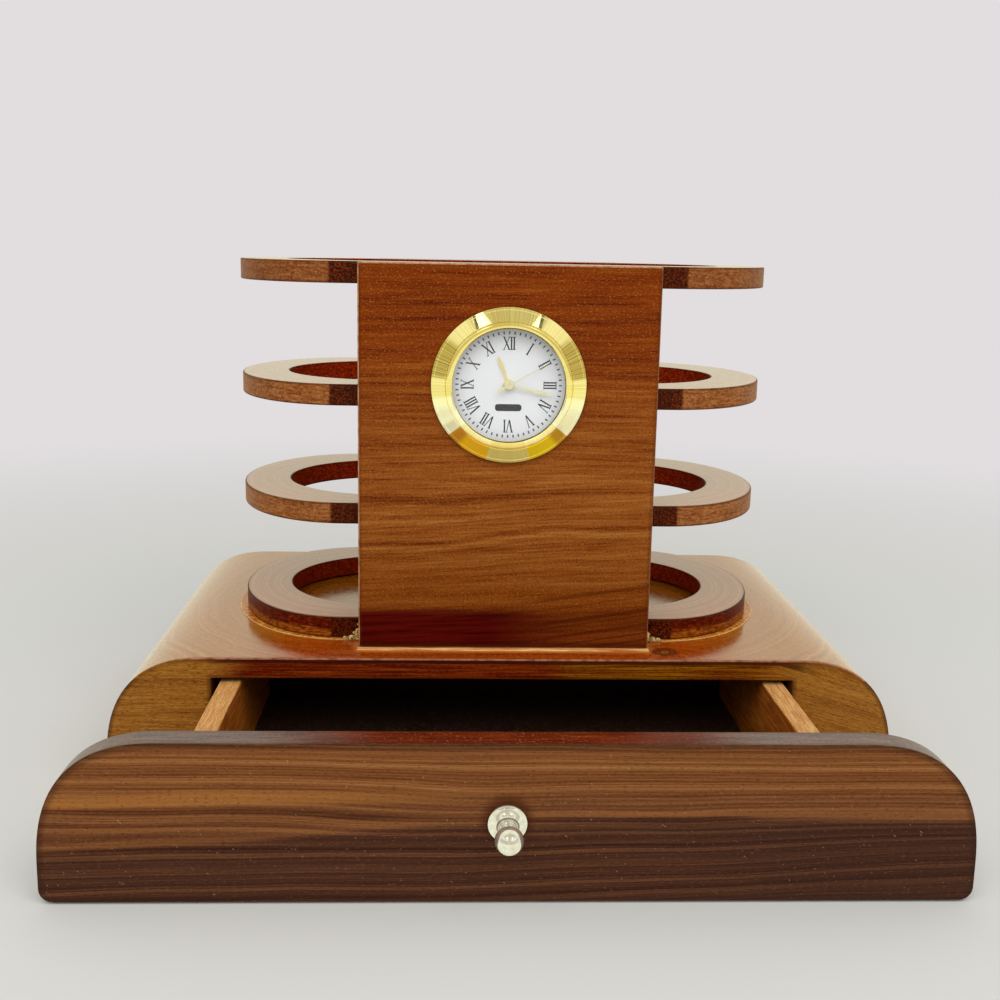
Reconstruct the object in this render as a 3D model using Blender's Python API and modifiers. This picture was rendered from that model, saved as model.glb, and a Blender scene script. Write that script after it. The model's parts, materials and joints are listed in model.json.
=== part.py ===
"""A desk pen holder with a clock and a drawer.

A loaf-shaped wooden base holds a drawer in a tunnel. On the base stand a front and a back panel,
with four oval rings between them that pens lean in. A round quartz clock is pushed into a bore in
the front panel.

Metres, +Z up. X runs across the front and the drawer opens towards -Y. The origin is the middle of
the base's underside. The drawer rests part open, as it is shown on a desk.
"""

import math

import bmesh
import bpy
from mathutils import Matrix, Vector

PART_COLLECTION = "pen_holder_clock"
CUTTER_COLLECTION = "cutters"

# Clearances
GLUE_GAP = 0.0003
RUNNING_GAP = 0.0003
SEAT_GAP = 0.0003
CUT_OVERRUN = 0.002

# Base housing
BASE_WIDTH = 0.2056
BASE_DEPTH = 0.1145
BASE_HEIGHT = 0.0372
SHOULDER_WIDTH = 0.0268
SHOULDER_HEIGHT = 0.0291
SHOULDER_FULLNESS = 2.53
SHOULDER_STEPS = 14
TOP_BOARD_THICKNESS = 0.0055
BOTTOM_BOARD_THICKNESS = 0.004
BACK_BOARD_THICKNESS = 0.006
SIDE_BLOCK_WIDTH = 0.0273
FOOT_CORNER_RADIUS = 0.003
FOOT_CORNER_STEPS = 4
BOARD_EDGE_RADIUS = 0.0008

# Column panels
COLUMN_SETBACK = 0.00845
PANEL_WIDTH = 0.0765
PANEL_HEIGHT = 0.0999
PANEL_THICKNESS = 0.008
PANEL_EDGE_RADIUS = 0.0007

# Oval rings
RING_COUNT = 4
RING_LENGTH = 0.1484
RING_END_LENGTH = 0.0312
RING_THICKNESS = 0.0056
RING_RIM_AT_ENDS = 0.0131
RING_RIM_AT_PANELS = 0.0122
RING_HOLE_END_LENGTH = 0.0285
RING_EDGE_RADIUS = 0.0005
RING_END_STEPS = 18

# Drawer
DRAWER_REST_OPENING = 0.0485
DRAWER_FRONT_THICKNESS = 0.0075
DRAWER_FRONT_EDGE_RADIUS = 0.0009
DRAWER_FLOOR_CLEARANCE = 0.0005
DRAWER_BOX_LENGTH = 0.105
DRAWER_SIDE_THICKNESS = 0.0056
DRAWER_BACK_THICKNESS = 0.0056
DRAWER_SIDE_PLAY = 0.002
DRAWER_TOP_PLAY = 0.0012
DRAWER_SLAT_EDGE_RADIUS = 0.0005
DRAWER_BOTTOM_THICKNESS = 0.0025
DRAWER_GROOVE_DEPTH = 0.0024
DRAWER_GROOVE_LIFT = 0.0022

# Drawer knob and its screw, a little off the middle of the drawer's front
KNOB_ACROSS = -0.0015
KNOB_ABOVE_MIDDLE = 0.0006
KNOB_FLANGE_RADIUS = 0.0043
KNOB_FLANGE_THICKNESS = 0.0009
KNOB_NECK_RADIUS = 0.0019
KNOB_NECK_LENGTH = 0.0041
KNOB_BALL_RADIUS = 0.0031
KNOB_BALL_LENGTH = 0.0064
KNOB_BORE_RADIUS = 0.0013
KNOB_BORE_DEPTH = 0.0056
KNOB_STEPS = 28
KNOB_BALL_POINTS = 9
KNOB_COVE_POINTS = 5
SCREW_HEAD_RADIUS = 0.003
SCREW_HEAD_HEIGHT = 0.0016
SCREW_HEAD_EDGE = 0.0005
SCREW_SLOT_WIDTH = 0.0008
SCREW_SLOT_DEPTH = 0.0007
SCREW_STEPS = 20

# Clock insert: heights are measured from the panel's face, positive towards the viewer
CLOCK_BELOW_PANEL_TOP = 0.0302
CLOCK_STEPS = 48
BEZEL_RADIUS = 0.01975
BEZEL_SKIRT_WALL = 0.0006
BEZEL_RIM_HEIGHT = 0.0007
BEZEL_SLOPE_HEIGHT = 0.0021
BEZEL_CREST_RADIUS = 0.0157
BEZEL_CREST_WIDTH = 0.0002
BEZEL_LIP_DROP = 0.0004
BEZEL_LIP_THICKNESS = 0.0005
DIAL_OPENING_RADIUS = 0.0144
LENS_THICKNESS = 0.0008
LENS_LAP = 0.0007
LENS_EDGE = 0.00015
HOUSING_FLANGE_THICKNESS = 0.0008
HOUSING_WALL = 0.0008
HOUSING_BACK_WALL = 0.001
HOUSING_RADIUS = 0.0169
HOUSING_LENGTH = 0.0072
HOUSING_FRONT_LIP = 0.0006
GASKET_THICKNESS = 0.00055
GASKET_RIB_HEIGHT = 0.0002
GASKET_LENGTH = 0.0052
GASKET_RIBS = 3
DIAL_THICKNESS = 0.0004
DIAL_RECESS = 0.0008
MOVEMENT_WIDTH = 0.022
MOVEMENT_CORNER_RADIUS = 0.002
MOVEMENT_CORNER_STEPS = 4
ARBOR_BORE_DEPTH = 0.0018

# Battery, its cover and the setting knob, on the back of the clock
BATTERY_RADIUS = 0.0034
BATTERY_THICKNESS = 0.0026
BATTERY_EDGE = 0.0003
BATTERY_ACROSS = -0.0055
BATTERY_UP = 0.0063
BATTERY_COVER_RADIUS = 0.0048
COIN_SLOT_LENGTH = 0.006
COIN_SLOT_WIDTH = 0.0012
COIN_SLOT_DEPTH = 0.0005
SET_KNOB_ACROSS = 0.0072
SET_KNOB_UP = 0.0068
SET_KNOB_RADIUS = 0.0028
SET_KNOB_THICKNESS = 0.0011
SET_KNOB_TEETH = 14
SET_KNOB_TOOTH_DEPTH = 0.00025
SET_KNOB_STEM_RADIUS = 0.0007
SET_KNOB_STEM_LENGTH = 0.0022
SMALL_ROUND_STEPS = 20

# Hands: blades and hubs, with coaxial arbors that run back into the movement
HAND_GAP = 0.00035
HAND_HUB_THICKNESS = 0.00025
HAND_BLADE_THICKNESS = 0.00018
ARBOR_GAP = 0.00025
ARBOR_WALL = 0.00025
SECOND_ARBOR_RADIUS = 0.00025
HAND_STEPS = 16
HOUR_HAND_LENGTH = 0.0081
HOUR_HAND_WIDTH = 0.001
HOUR_HUB_RADIUS = 0.00155
HOUR_HAND_DEGREES = 339.0
MINUTE_HAND_LENGTH = 0.0119
MINUTE_HAND_WIDTH = 0.0008
MINUTE_HUB_RADIUS = 0.00135
MINUTE_HAND_DEGREES = 102.0
SECOND_HAND_LENGTH = 0.0118
SECOND_HAND_WIDTH = 0.00035
SECOND_HUB_RADIUS = 0.0012
SECOND_TAIL_LENGTH = 0.0032
SECOND_TAIL_WIDTH = 0.0011
SECOND_HAND_DEGREES = 60.0
HAND_ROOT_WIDTH_SHARE = 0.45
HAND_WIDEST_SHARE = 0.38

# Places that several pieces share
PANEL_FACE_Y = -(BASE_DEPTH / 2 - COLUMN_SETBACK)
RING_DEPTH = -2 * (PANEL_FACE_Y + PANEL_THICKNESS + GLUE_GAP)
COLUMN_TOP = BASE_HEIGHT + GLUE_GAP + PANEL_HEIGHT
TUNNEL_WIDTH = BASE_WIDTH - 2 * SIDE_BLOCK_WIDTH
TUNNEL_TOP = BASE_HEIGHT - TOP_BOARD_THICKNESS
DRAWER_BACK_FACE_Y = -(BASE_DEPTH / 2 + RUNNING_GAP + DRAWER_REST_OPENING)
DRAWER_BOX_WIDTH = TUNNEL_WIDTH - 2 * DRAWER_SIDE_PLAY
DRAWER_INNER_WIDTH = DRAWER_BOX_WIDTH - 2 * DRAWER_SIDE_THICKNESS
DRAWER_BOX_FOOT = BOTTOM_BOARD_THICKNESS + RUNNING_GAP
DRAWER_BOX_TOP = TUNNEL_TOP - DRAWER_TOP_PLAY
DRAWER_FLOOR_UNDERSIDE = DRAWER_BOX_FOOT + DRAWER_GROOVE_LIFT
DRAWER_FLOOR_TOP = DRAWER_FLOOR_UNDERSIDE + DRAWER_BOTTOM_THICKNESS
KNOB_HEIGHT = BASE_HEIGHT / 2 + KNOB_ABOVE_MIDDLE
SCREW_SHANK_RADIUS = KNOB_BORE_RADIUS - SEAT_GAP
SCREW_HOLE_RADIUS = KNOB_BORE_RADIUS
CLOCK_HEIGHT = COLUMN_TOP - CLOCK_BELOW_PANEL_TOP
GASKET_OUTER_RADIUS = HOUSING_RADIUS + SEAT_GAP + GASKET_THICKNESS
CLOCK_BORE_RADIUS = GASKET_OUTER_RADIUS + SEAT_GAP
FLANGE_BACK = SEAT_GAP
FLANGE_FRONT = FLANGE_BACK + HOUSING_FLANGE_THICKNESS
LENS_BACK = FLANGE_FRONT + SEAT_GAP
LENS_FRONT = LENS_BACK + LENS_THICKNESS
LENS_RADIUS = DIAL_OPENING_RADIUS + LENS_LAP
DIAL_FRONT = -DIAL_RECESS
DIAL_BACK = DIAL_FRONT - DIAL_THICKNESS
DIAL_RADIUS = HOUSING_RADIUS - HOUSING_WALL - SEAT_GAP
MOVEMENT_FRONT = DIAL_BACK - SEAT_GAP
HOUSING_INNER_BACK = -(HOUSING_LENGTH - HOUSING_BACK_WALL)
MOVEMENT_BACK = HOUSING_INNER_BACK + SEAT_GAP
HOUR_ARBOR_RADIUS = SECOND_ARBOR_RADIUS + 2 * (ARBOR_GAP + ARBOR_WALL)
MINUTE_ARBOR_RADIUS = SECOND_ARBOR_RADIUS + ARBOR_GAP + ARBOR_WALL
ARBOR_BORE_RADIUS = HOUR_ARBOR_RADIUS + SEAT_GAP
STEM_BORE_RADIUS = SET_KNOB_STEM_RADIUS + SEAT_GAP


def clear_scene():
    for obj in list(bpy.data.objects):
        bpy.data.objects.remove(obj, do_unlink=True)


def collection(name):
    made = bpy.data.collections.new(name)
    bpy.context.scene.collection.children.link(made)
    return made


def material(name, colour, roughness, metallic=0.0):
    made = bpy.data.materials.new(name)
    made.use_nodes = True
    shader = made.node_tree.nodes["Principled BSDF"]
    shader.inputs["Base Color"].default_value = (*colour, 1.0)
    shader.inputs["Roughness"].default_value = roughness
    shader.inputs["Metallic"].default_value = metallic
    made.diffuse_color = (*colour, 1.0)
    return made


def add_object(name, mesh, parent=None):
    obj = bpy.data.objects.new(name, mesh)
    bpy.data.collections[PART_COLLECTION].objects.link(obj)
    obj.parent = parent
    return obj


def add_empty(name, place, turn=(0.0, 0.0, 0.0)):
    """A guide that moving pieces hang from, placed on their joint's axis."""
    empty = add_object(name, None)
    empty.location = place
    empty.rotation_euler = turn
    bpy.context.view_layer.update()
    return empty


def make_cutter(obj):
    """Takes a finished shape out of the part and keeps it as a hidden cutter."""
    bpy.data.collections[PART_COLLECTION].objects.unlink(obj)
    bpy.data.collections[CUTTER_COLLECTION].objects.link(obj)
    obj.hide_render = True
    obj.display_type = "WIRE"
    return obj


def cut(obj, cutter):
    make_cutter(cutter)
    modifier = obj.modifiers.new("cut_" + cutter.name, "BOOLEAN")
    modifier.operation = "DIFFERENCE"
    modifier.object = cutter


def join(obj, other):
    make_cutter(other)
    modifier = obj.modifiers.new("join_" + other.name, "BOOLEAN")
    modifier.operation = "UNION"
    modifier.object = other


def round_edges(obj, radius, segments=2):
    modifier = obj.modifiers.new("rounded_edges", "BEVEL")
    modifier.width = radius
    modifier.segments = segments
    modifier.limit_method = "ANGLE"
    modifier.angle_limit = math.radians(50)


def shade_round(obj):
    obj.data.shade_smooth()
    obj.data.set_sharp_from_angle(angle=math.radians(35))


def block(name, low, high, parent=None):
    """A box between two corners, with its origin in its middle."""
    size = Vector(high) - Vector(low)
    mesh = bpy.data.meshes.new(name)
    shape = bmesh.new()
    bmesh.ops.create_cube(shape, size=1.0, matrix=Matrix.Diagonal((*size, 1.0)))
    shape.to_mesh(mesh)
    shape.free()
    obj = add_object(name, mesh, parent)
    obj.location = (Vector(low) + Vector(high)) / 2
    return obj


def rod(name, radius, bottom, top, place=(0.0, 0.0), steps=SMALL_ROUND_STEPS, parent=None):
    """A cylinder along the local Z axis between two heights."""
    mesh = bpy.data.meshes.new(name)
    shape = bmesh.new()
    bmesh.ops.create_cone(
        shape, cap_ends=True, segments=steps, radius1=radius, radius2=radius, depth=top - bottom
    )
    shape.to_mesh(mesh)
    shape.free()
    obj = add_object(name, mesh, parent)
    obj.location = (place[0], place[1], (top + bottom) / 2)
    shade_round(obj)
    return obj


def turned(name, profile, steps, closed=False, parent=None):
    """A profile of (radius, height) points, outer side from top to bottom, spun about local Z."""
    mesh = bpy.data.meshes.new(name)
    edges = [(index, index + 1) for index in range(len(profile) - 1)]
    if closed:
        edges.append((len(profile) - 1, 0))
    mesh.from_pydata([(radius, 0.0, height) for radius, height in profile], edges, [])
    obj = add_object(name, mesh, parent)
    spin = obj.modifiers.new("turned", "SCREW")
    spin.axis = "Z"
    spin.steps = steps
    spin.render_steps = steps
    spin.use_merge_vertices = True
    spin.merge_threshold = 0.000001
    spin.use_smooth_shade = True
    return obj


def flat_shape(name, outlines, thickness, parent=None, upright=False):
    """A filled 2D curve, as thick as given and centred on its plane, made into a mesh.

    An upright shape has its outline in X and Z and its thickness along Y.
    """
    curve = bpy.data.curves.new(name, "CURVE")
    curve.dimensions = "2D"
    curve.fill_mode = "BOTH"
    curve.extrude = thickness / 2
    for outline in outlines:
        spline = curve.splines.new("POLY")
        spline.points.add(len(outline) - 1)
        for point, (x, y) in zip(spline.points, outline):
            point.co = (x, y, 0.0, 1.0)
        spline.use_cyclic_u = True
    drawn = bpy.data.objects.new(name + "_outline", curve)
    bpy.context.scene.collection.objects.link(drawn)
    bpy.context.view_layer.update()
    graph = bpy.context.evaluated_depsgraph_get()
    mesh = bpy.data.meshes.new_from_object(drawn.evaluated_get(graph))
    mesh.name = name
    shape = bmesh.new()
    shape.from_mesh(mesh)
    bmesh.ops.remove_doubles(shape, verts=shape.verts, dist=0.000001)
    if upright:
        bmesh.ops.rotate(shape, verts=shape.verts, matrix=Matrix.Rotation(math.pi / 2, 3, "X"))
    bmesh.ops.recalc_face_normals(shape, faces=shape.faces)
    shape.to_mesh(mesh)
    shape.free()
    obj = add_object(name, mesh, parent)
    obj.matrix_world = drawn.matrix_world
    bpy.data.objects.remove(drawn, do_unlink=True)
    return obj


def shoulder_points(low, high):
    """One rounded shoulder of the loaf section, from height low to height high at +X."""
    spring = BASE_HEIGHT - SHOULDER_HEIGHT
    flat = BASE_WIDTH / 2 - SHOULDER_WIDTH
    power = 2 / SHOULDER_FULLNESS

    def angle_at(height):
        share = max(0.0, min(1.0, (height - spring) / SHOULDER_HEIGHT))
        return math.asin(share ** (1 / power))

    first, last = angle_at(low), angle_at(high)
    steps = max(2, round(SHOULDER_STEPS * (last - first) / (math.pi / 2)))
    points = []
    for step in range(steps + 1):
        angle = first + (last - first) * step / steps
        x = flat + SHOULDER_WIDTH * max(0.0, math.cos(angle)) ** power
        points.append((x, spring + SHOULDER_HEIGHT * math.sin(angle) ** power))
    return points


def foot_points(foot):
    """The small rounded lower corner at +X, from the underside up to the vertical side."""
    radius = FOOT_CORNER_RADIUS
    points = []
    for step in range(FOOT_CORNER_STEPS + 1):
        angle = math.pi / 2 * step / FOOT_CORNER_STEPS
        x = BASE_WIDTH / 2 - radius + radius * math.sin(angle)
        points.append((x, foot + radius - radius * math.cos(angle)))
    return points


def mirrored(points):
    """A right-hand run of points, going up, and its mirror image going down."""
    return points + [(-x, y) for x, y in reversed(points) if x > 0.0]


def build_base(wood_top, wood_side, wood_hidden):
    front, back = -BASE_DEPTH / 2, BASE_DEPTH / 2
    tunnel = TUNNEL_WIDTH / 2
    floor_top = BOTTOM_BOARD_THICKNESS

    outline = mirrored(shoulder_points(TUNNEL_TOP, BASE_HEIGHT))
    top = flat_shape("base_top_board", [outline], BASE_DEPTH, upright=True)
    round_edges(top, BOARD_EDGE_RADIUS)
    top.data.materials.append(wood_top)

    low = floor_top + GLUE_GAP
    high = TUNNEL_TOP - GLUE_GAP
    side = [(tunnel, low), (BASE_WIDTH / 2, low)] + shoulder_points(low, high) + [(tunnel, high)]
    for name, sign in (("base_side_block_left", -1), ("base_side_block_right", 1)):
        points = [(sign * x, z) for x, z in side]
        piece = flat_shape(name, [points[::sign]], BASE_DEPTH, upright=True)
        round_edges(piece, BOARD_EDGE_RADIUS)
        piece.data.materials.append(wood_side)

    corner = foot_points(0.0)
    outline = mirrored(corner + [(BASE_WIDTH / 2, floor_top)])
    bottom = flat_shape("base_bottom_board", [outline], BASE_DEPTH, upright=True)
    bottom.data.materials.append(wood_side)

    board = block(
        "base_back_board",
        (-tunnel + GLUE_GAP, back - BACK_BOARD_THICKNESS, low),
        (tunnel - GLUE_GAP, back, high),
    )
    round_edges(board, BOARD_EDGE_RADIUS)
    board.data.materials.append(wood_hidden)


def build_panels(wood):
    half = PANEL_WIDTH / 2
    foot = BASE_HEIGHT + GLUE_GAP
    panels = []
    for name, face in (("front_panel", PANEL_FACE_Y), ("back_panel", -PANEL_FACE_Y - PANEL_THICKNESS)):
        panel = block(name, (-half, face, foot), (half, face + PANEL_THICKNESS, COLUMN_TOP))
        round_edges(panel, PANEL_EDGE_RADIUS)
        panel.data.materials.append(wood)
        panels.append(panel)
    bore = rod(
        "clock_bore", CLOCK_BORE_RADIUS, -CUT_OVERRUN, PANEL_THICKNESS + CUT_OVERRUN, steps=CLOCK_STEPS
    )
    turn = Matrix.Rotation(-math.pi / 2, 4, "X")
    bore.matrix_world = (
        Matrix.Translation((0.0, PANEL_FACE_Y, CLOCK_HEIGHT)) @ turn @ Matrix.Translation(bore.location)
    )
    cut(panels[0], bore)


def oval(length, depth, end_length):
    """An oval with straight long sides and half-ellipse ends."""
    straight = length / 2 - end_length
    points = []
    for side in (1, -1):
        for step in range(RING_END_STEPS + 1):
            angle = math.pi * step / RING_END_STEPS
            x = side * (straight + end_length * math.sin(angle))
            points.append((x, -side * depth / 2 * math.cos(angle)))
    return points


def build_rings(wood):
    outer = oval(RING_LENGTH, RING_DEPTH, RING_END_LENGTH)
    hole_length = RING_LENGTH - 2 * RING_RIM_AT_ENDS
    hole = oval(hole_length, RING_DEPTH - 2 * RING_RIM_AT_PANELS, RING_HOLE_END_LENGTH)
    lowest = BASE_HEIGHT + GLUE_GAP + RING_THICKNESS / 2
    highest = COLUMN_TOP - RING_THICKNESS / 2
    names = ["ring_on_base", "ring_lower", "ring_upper", "ring_top"]
    for index in range(RING_COUNT):
        ring = flat_shape(names[index], [outer, hole], RING_THICKNESS)
        ring.location.z = lowest + (highest - lowest) * index / (RING_COUNT - 1)
        round_edges(ring, RING_EDGE_RADIUS)
        ring.data.materials.append(wood)


def build_drawer(wood_front, wood_side, board_material):
    slide = add_empty("drawer_slide", (0.0, DRAWER_BACK_FACE_Y, DRAWER_BOX_FOOT))
    undo = slide.matrix_world.inverted()

    outline = mirrored(foot_points(DRAWER_FLOOR_CLEARANCE) + shoulder_points(0.0, BASE_HEIGHT))
    front = flat_shape("drawer_front", [outline], DRAWER_FRONT_THICKNESS, upright=True)
    front.location.y = DRAWER_BACK_FACE_Y - DRAWER_FRONT_THICKNESS / 2
    round_edges(front, DRAWER_FRONT_EDGE_RADIUS)
    front.data.materials.append(wood_front)

    start = DRAWER_BACK_FACE_Y + GLUE_GAP
    end = start + DRAWER_BOX_LENGTH
    inner = DRAWER_INNER_WIDTH / 2
    outer = DRAWER_BOX_WIDTH / 2
    groove_low = DRAWER_FLOOR_UNDERSIDE - SEAT_GAP
    groove_high = DRAWER_FLOOR_TOP + SEAT_GAP
    groove_reach = inner + DRAWER_GROOVE_DEPTH
    for name, sign in (("drawer_side_left", -1), ("drawer_side_right", 1)):
        across = sorted((sign * inner, sign * outer))
        slat = block(name, (across[0], start, DRAWER_BOX_FOOT), (across[1], end, DRAWER_BOX_TOP))
        round_edges(slat, DRAWER_SLAT_EDGE_RADIUS)
        slat.data.materials.append(wood_side)
        reach = sorted((sign * (inner - CUT_OVERRUN), sign * groove_reach))
        groove = block(
            name + "_groove",
            (reach[0], start - CUT_OVERRUN, groove_low),
            (reach[1], end + CUT_OVERRUN, groove_high),
        )
        cut(slat, groove)
        slat.parent = slide
        slat.matrix_parent_inverse = undo

    groove = block(
        "drawer_front_groove",
        (-inner, DRAWER_BACK_FACE_Y - DRAWER_GROOVE_DEPTH, groove_low),
        (inner, DRAWER_BACK_FACE_Y + CUT_OVERRUN, groove_high),
    )
    cut(front, groove)

    back = block(
        "drawer_back",
        (-inner + GLUE_GAP, end - DRAWER_BACK_THICKNESS, groove_high),
        (inner - GLUE_GAP, end, DRAWER_BOX_TOP),
    )
    round_edges(back, DRAWER_SLAT_EDGE_RADIUS)
    back.data.materials.append(wood_side)

    half = groove_reach - SEAT_GAP
    bottom = block(
        "drawer_bottom",
        (-half, DRAWER_BACK_FACE_Y + GLUE_GAP, DRAWER_FLOOR_UNDERSIDE),
        (half, end, DRAWER_FLOOR_TOP),
    )
    bottom.data.materials.append(board_material)
    for piece in (front, back, bottom):
        piece.parent = slide
        piece.matrix_parent_inverse = undo
    return slide, front


def knob_profile():
    """Flange, coved neck and egg-shaped ball, from the tip down to the bore at the back."""
    ball_middle = KNOB_FLANGE_THICKNESS + KNOB_NECK_LENGTH + KNOB_BALL_LENGTH / 2
    last_angle = math.pi - math.asin(KNOB_NECK_RADIUS / KNOB_BALL_RADIUS)
    points = []
    for step in range(KNOB_BALL_POINTS + 1):
        angle = last_angle * step / KNOB_BALL_POINTS
        height = ball_middle + KNOB_BALL_LENGTH / 2 * math.cos(angle)
        points.append((KNOB_BALL_RADIUS * math.sin(angle), height))
    cove = KNOB_FLANGE_RADIUS - KNOB_NECK_RADIUS
    for step in range(KNOB_COVE_POINTS + 1):
        angle = math.pi / 2 * step / KNOB_COVE_POINTS
        radius = KNOB_FLANGE_RADIUS - cove * math.cos(angle)
        points.append((radius, KNOB_FLANGE_THICKNESS + cove * (1 - math.sin(angle))))
    points.append((KNOB_FLANGE_RADIUS, 0.0))
    points.append((KNOB_BORE_RADIUS, 0.0))
    points.append((KNOB_BORE_RADIUS, KNOB_BORE_DEPTH))
    points.append((0.0, KNOB_BORE_DEPTH))
    return points


def build_knob(slide, front, metal, steel):
    face = DRAWER_BACK_FACE_Y - DRAWER_FRONT_THICKNESS
    axis = add_empty("drawer_knob_axis", (KNOB_ACROSS, face, KNOB_HEIGHT), (math.pi / 2, 0.0, 0.0))
    axis.parent = slide
    axis.matrix_parent_inverse = slide.matrix_world.inverted()
    bpy.context.view_layer.update()

    hole = rod(
        "knob_screw_hole",
        SCREW_HOLE_RADIUS,
        -(DRAWER_FRONT_THICKNESS + CUT_OVERRUN),
        CUT_OVERRUN,
        parent=axis,
    )
    cut(front, hole)

    knob = turned("drawer_knob", knob_profile(), KNOB_STEPS, parent=axis)
    knob.location.z = SEAT_GAP
    knob.data.materials.append(metal)

    head_top = -(DRAWER_FRONT_THICKNESS + SEAT_GAP)
    head_back = head_top - SCREW_HEAD_HEIGHT
    tip = SEAT_GAP + KNOB_BORE_DEPTH - SEAT_GAP
    profile = [
        (0.0, tip),
        (SCREW_SHANK_RADIUS, tip),
        (SCREW_SHANK_RADIUS, head_top),
        (SCREW_HEAD_RADIUS, head_top),
        (SCREW_HEAD_RADIUS, head_back + SCREW_HEAD_EDGE),
        (SCREW_HEAD_RADIUS - SCREW_HEAD_EDGE, head_back),
        (0.0, head_back),
    ]
    screw = turned("knob_screw", profile, SCREW_STEPS, parent=axis)
    slot = block(
        "knob_screw_slot",
        (-SCREW_HEAD_RADIUS - CUT_OVERRUN, -SCREW_SLOT_WIDTH / 2, head_back - CUT_OVERRUN),
        (SCREW_HEAD_RADIUS + CUT_OVERRUN, SCREW_SLOT_WIDTH / 2, head_back + SCREW_SLOT_DEPTH),
        parent=axis,
    )
    cut(screw, slot)
    screw.data.materials.append(steel)


def build_bezel(axis, gold):
    rim = FLANGE_BACK + BEZEL_RIM_HEIGHT
    crest = rim + BEZEL_SLOPE_HEIGHT
    lip = crest - BEZEL_LIP_DROP
    skirt = BEZEL_RADIUS - BEZEL_SKIRT_WALL
    recess = FLANGE_FRONT + SEAT_GAP
    seat = LENS_FRONT + SEAT_GAP
    inner = LENS_RADIUS + SEAT_GAP
    profile = [
        (BEZEL_CREST_RADIUS, crest),
        (BEZEL_RADIUS - BEZEL_CREST_WIDTH, rim + BEZEL_CREST_WIDTH),
        (BEZEL_RADIUS, rim),
        (BEZEL_RADIUS, FLANGE_BACK),
        (skirt, FLANGE_BACK),
        (skirt, recess),
        (inner, recess),
        (inner, seat),
        (DIAL_OPENING_RADIUS, seat),
        (DIAL_OPENING_RADIUS, seat + BEZEL_LIP_THICKNESS),
        (BEZEL_CREST_RADIUS - BEZEL_CREST_WIDTH, lip),
        (BEZEL_CREST_RADIUS - BEZEL_CREST_WIDTH, crest),
    ]
    bezel = turned("clock_bezel", profile, CLOCK_STEPS, closed=True, parent=axis)
    bezel.data.materials.append(gold)


def build_lens(axis, glass):
    rim = LENS_RADIUS - LENS_EDGE
    profile = [
        (0.0, LENS_FRONT),
        (rim, LENS_FRONT),
        (LENS_RADIUS, LENS_FRONT - LENS_EDGE),
        (LENS_RADIUS, LENS_BACK + LENS_EDGE),
        (rim, LENS_BACK),
        (0.0, LENS_BACK),
    ]
    lens = turned("clock_lens", profile, CLOCK_STEPS, parent=axis)
    lens.data.materials.append(glass)


def build_housing(axis, plastic):
    """The cup with its front flange, a lip round the dial and holes in its back wall."""
    bore = HOUSING_RADIUS - HOUSING_WALL
    flange = BEZEL_RADIUS - BEZEL_SKIRT_WALL - SEAT_GAP
    profile = [
        (flange, FLANGE_FRONT),
        (flange, FLANGE_BACK),
        (HOUSING_RADIUS, FLANGE_BACK),
        (HOUSING_RADIUS, -HOUSING_LENGTH),
        (0.0, -HOUSING_LENGTH),
        (0.0, HOUSING_INNER_BACK),
        (bore, HOUSING_INNER_BACK),
        (bore, FLANGE_FRONT - HOUSING_FRONT_LIP),
        (LENS_RADIUS - LENS_LAP, FLANGE_FRONT - HOUSING_FRONT_LIP),
        (LENS_RADIUS - LENS_LAP, FLANGE_FRONT),
    ]
    housing = turned("clock_housing", profile, CLOCK_STEPS, closed=True, parent=axis)
    low = -(HOUSING_LENGTH + CUT_OVERRUN)
    high = MOVEMENT_BACK
    place = (BATTERY_ACROSS, BATTERY_UP)
    hatch = rod("battery_hatch", BATTERY_COVER_RADIUS + SEAT_GAP, low, high, place, parent=axis)
    cut(housing, hatch)
    place = (SET_KNOB_ACROSS, SET_KNOB_UP)
    cut(housing, rod("stem_hole", STEM_BORE_RADIUS, low, high, place, parent=axis))
    housing.data.materials.append(plastic)


def build_gasket(axis, rubber):
    inner = HOUSING_RADIUS + SEAT_GAP
    middle = -(HOUSING_LENGTH + FLANGE_BACK) / 2 + FLANGE_BACK
    top = middle + GASKET_LENGTH / 2
    pitch = GASKET_LENGTH / (2 * GASKET_RIBS + 1)
    outside = []
    for step in range(2 * GASKET_RIBS + 2):
        radius = GASKET_OUTER_RADIUS - (GASKET_RIB_HEIGHT if step % 2 == 0 else 0.0)
        outside.append((radius, top - pitch * step))
    outside[-1] = (GASKET_OUTER_RADIUS - GASKET_RIB_HEIGHT, top - GASKET_LENGTH)
    profile = outside + [(inner, top - GASKET_LENGTH), (inner, top)]
    gasket = turned("clock_gasket", profile, CLOCK_STEPS, closed=True, parent=axis)
    gasket.data.materials.append(rubber)


def build_dial(axis, paper):
    profile = [
        (DIAL_RADIUS, DIAL_FRONT),
        (DIAL_RADIUS, DIAL_BACK),
        (ARBOR_BORE_RADIUS, DIAL_BACK),
        (ARBOR_BORE_RADIUS, DIAL_FRONT),
    ]
    dial = turned("clock_dial", profile, CLOCK_STEPS, closed=True, parent=axis)
    dial.data.materials.append(paper)


def rounded_square(width, radius, steps):
    points = []
    for corner in range(4):
        turn = math.pi / 2 * corner
        for step in range(steps + 1):
            angle = turn + math.pi / 2 * step / steps
            middle = turn + math.pi / 4
            reach = (width / 2 - radius) * math.sqrt(2)
            x = reach * math.cos(middle) + radius * math.cos(angle)
            points.append((x, reach * math.sin(middle) + radius * math.sin(angle)))
    return points


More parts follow.
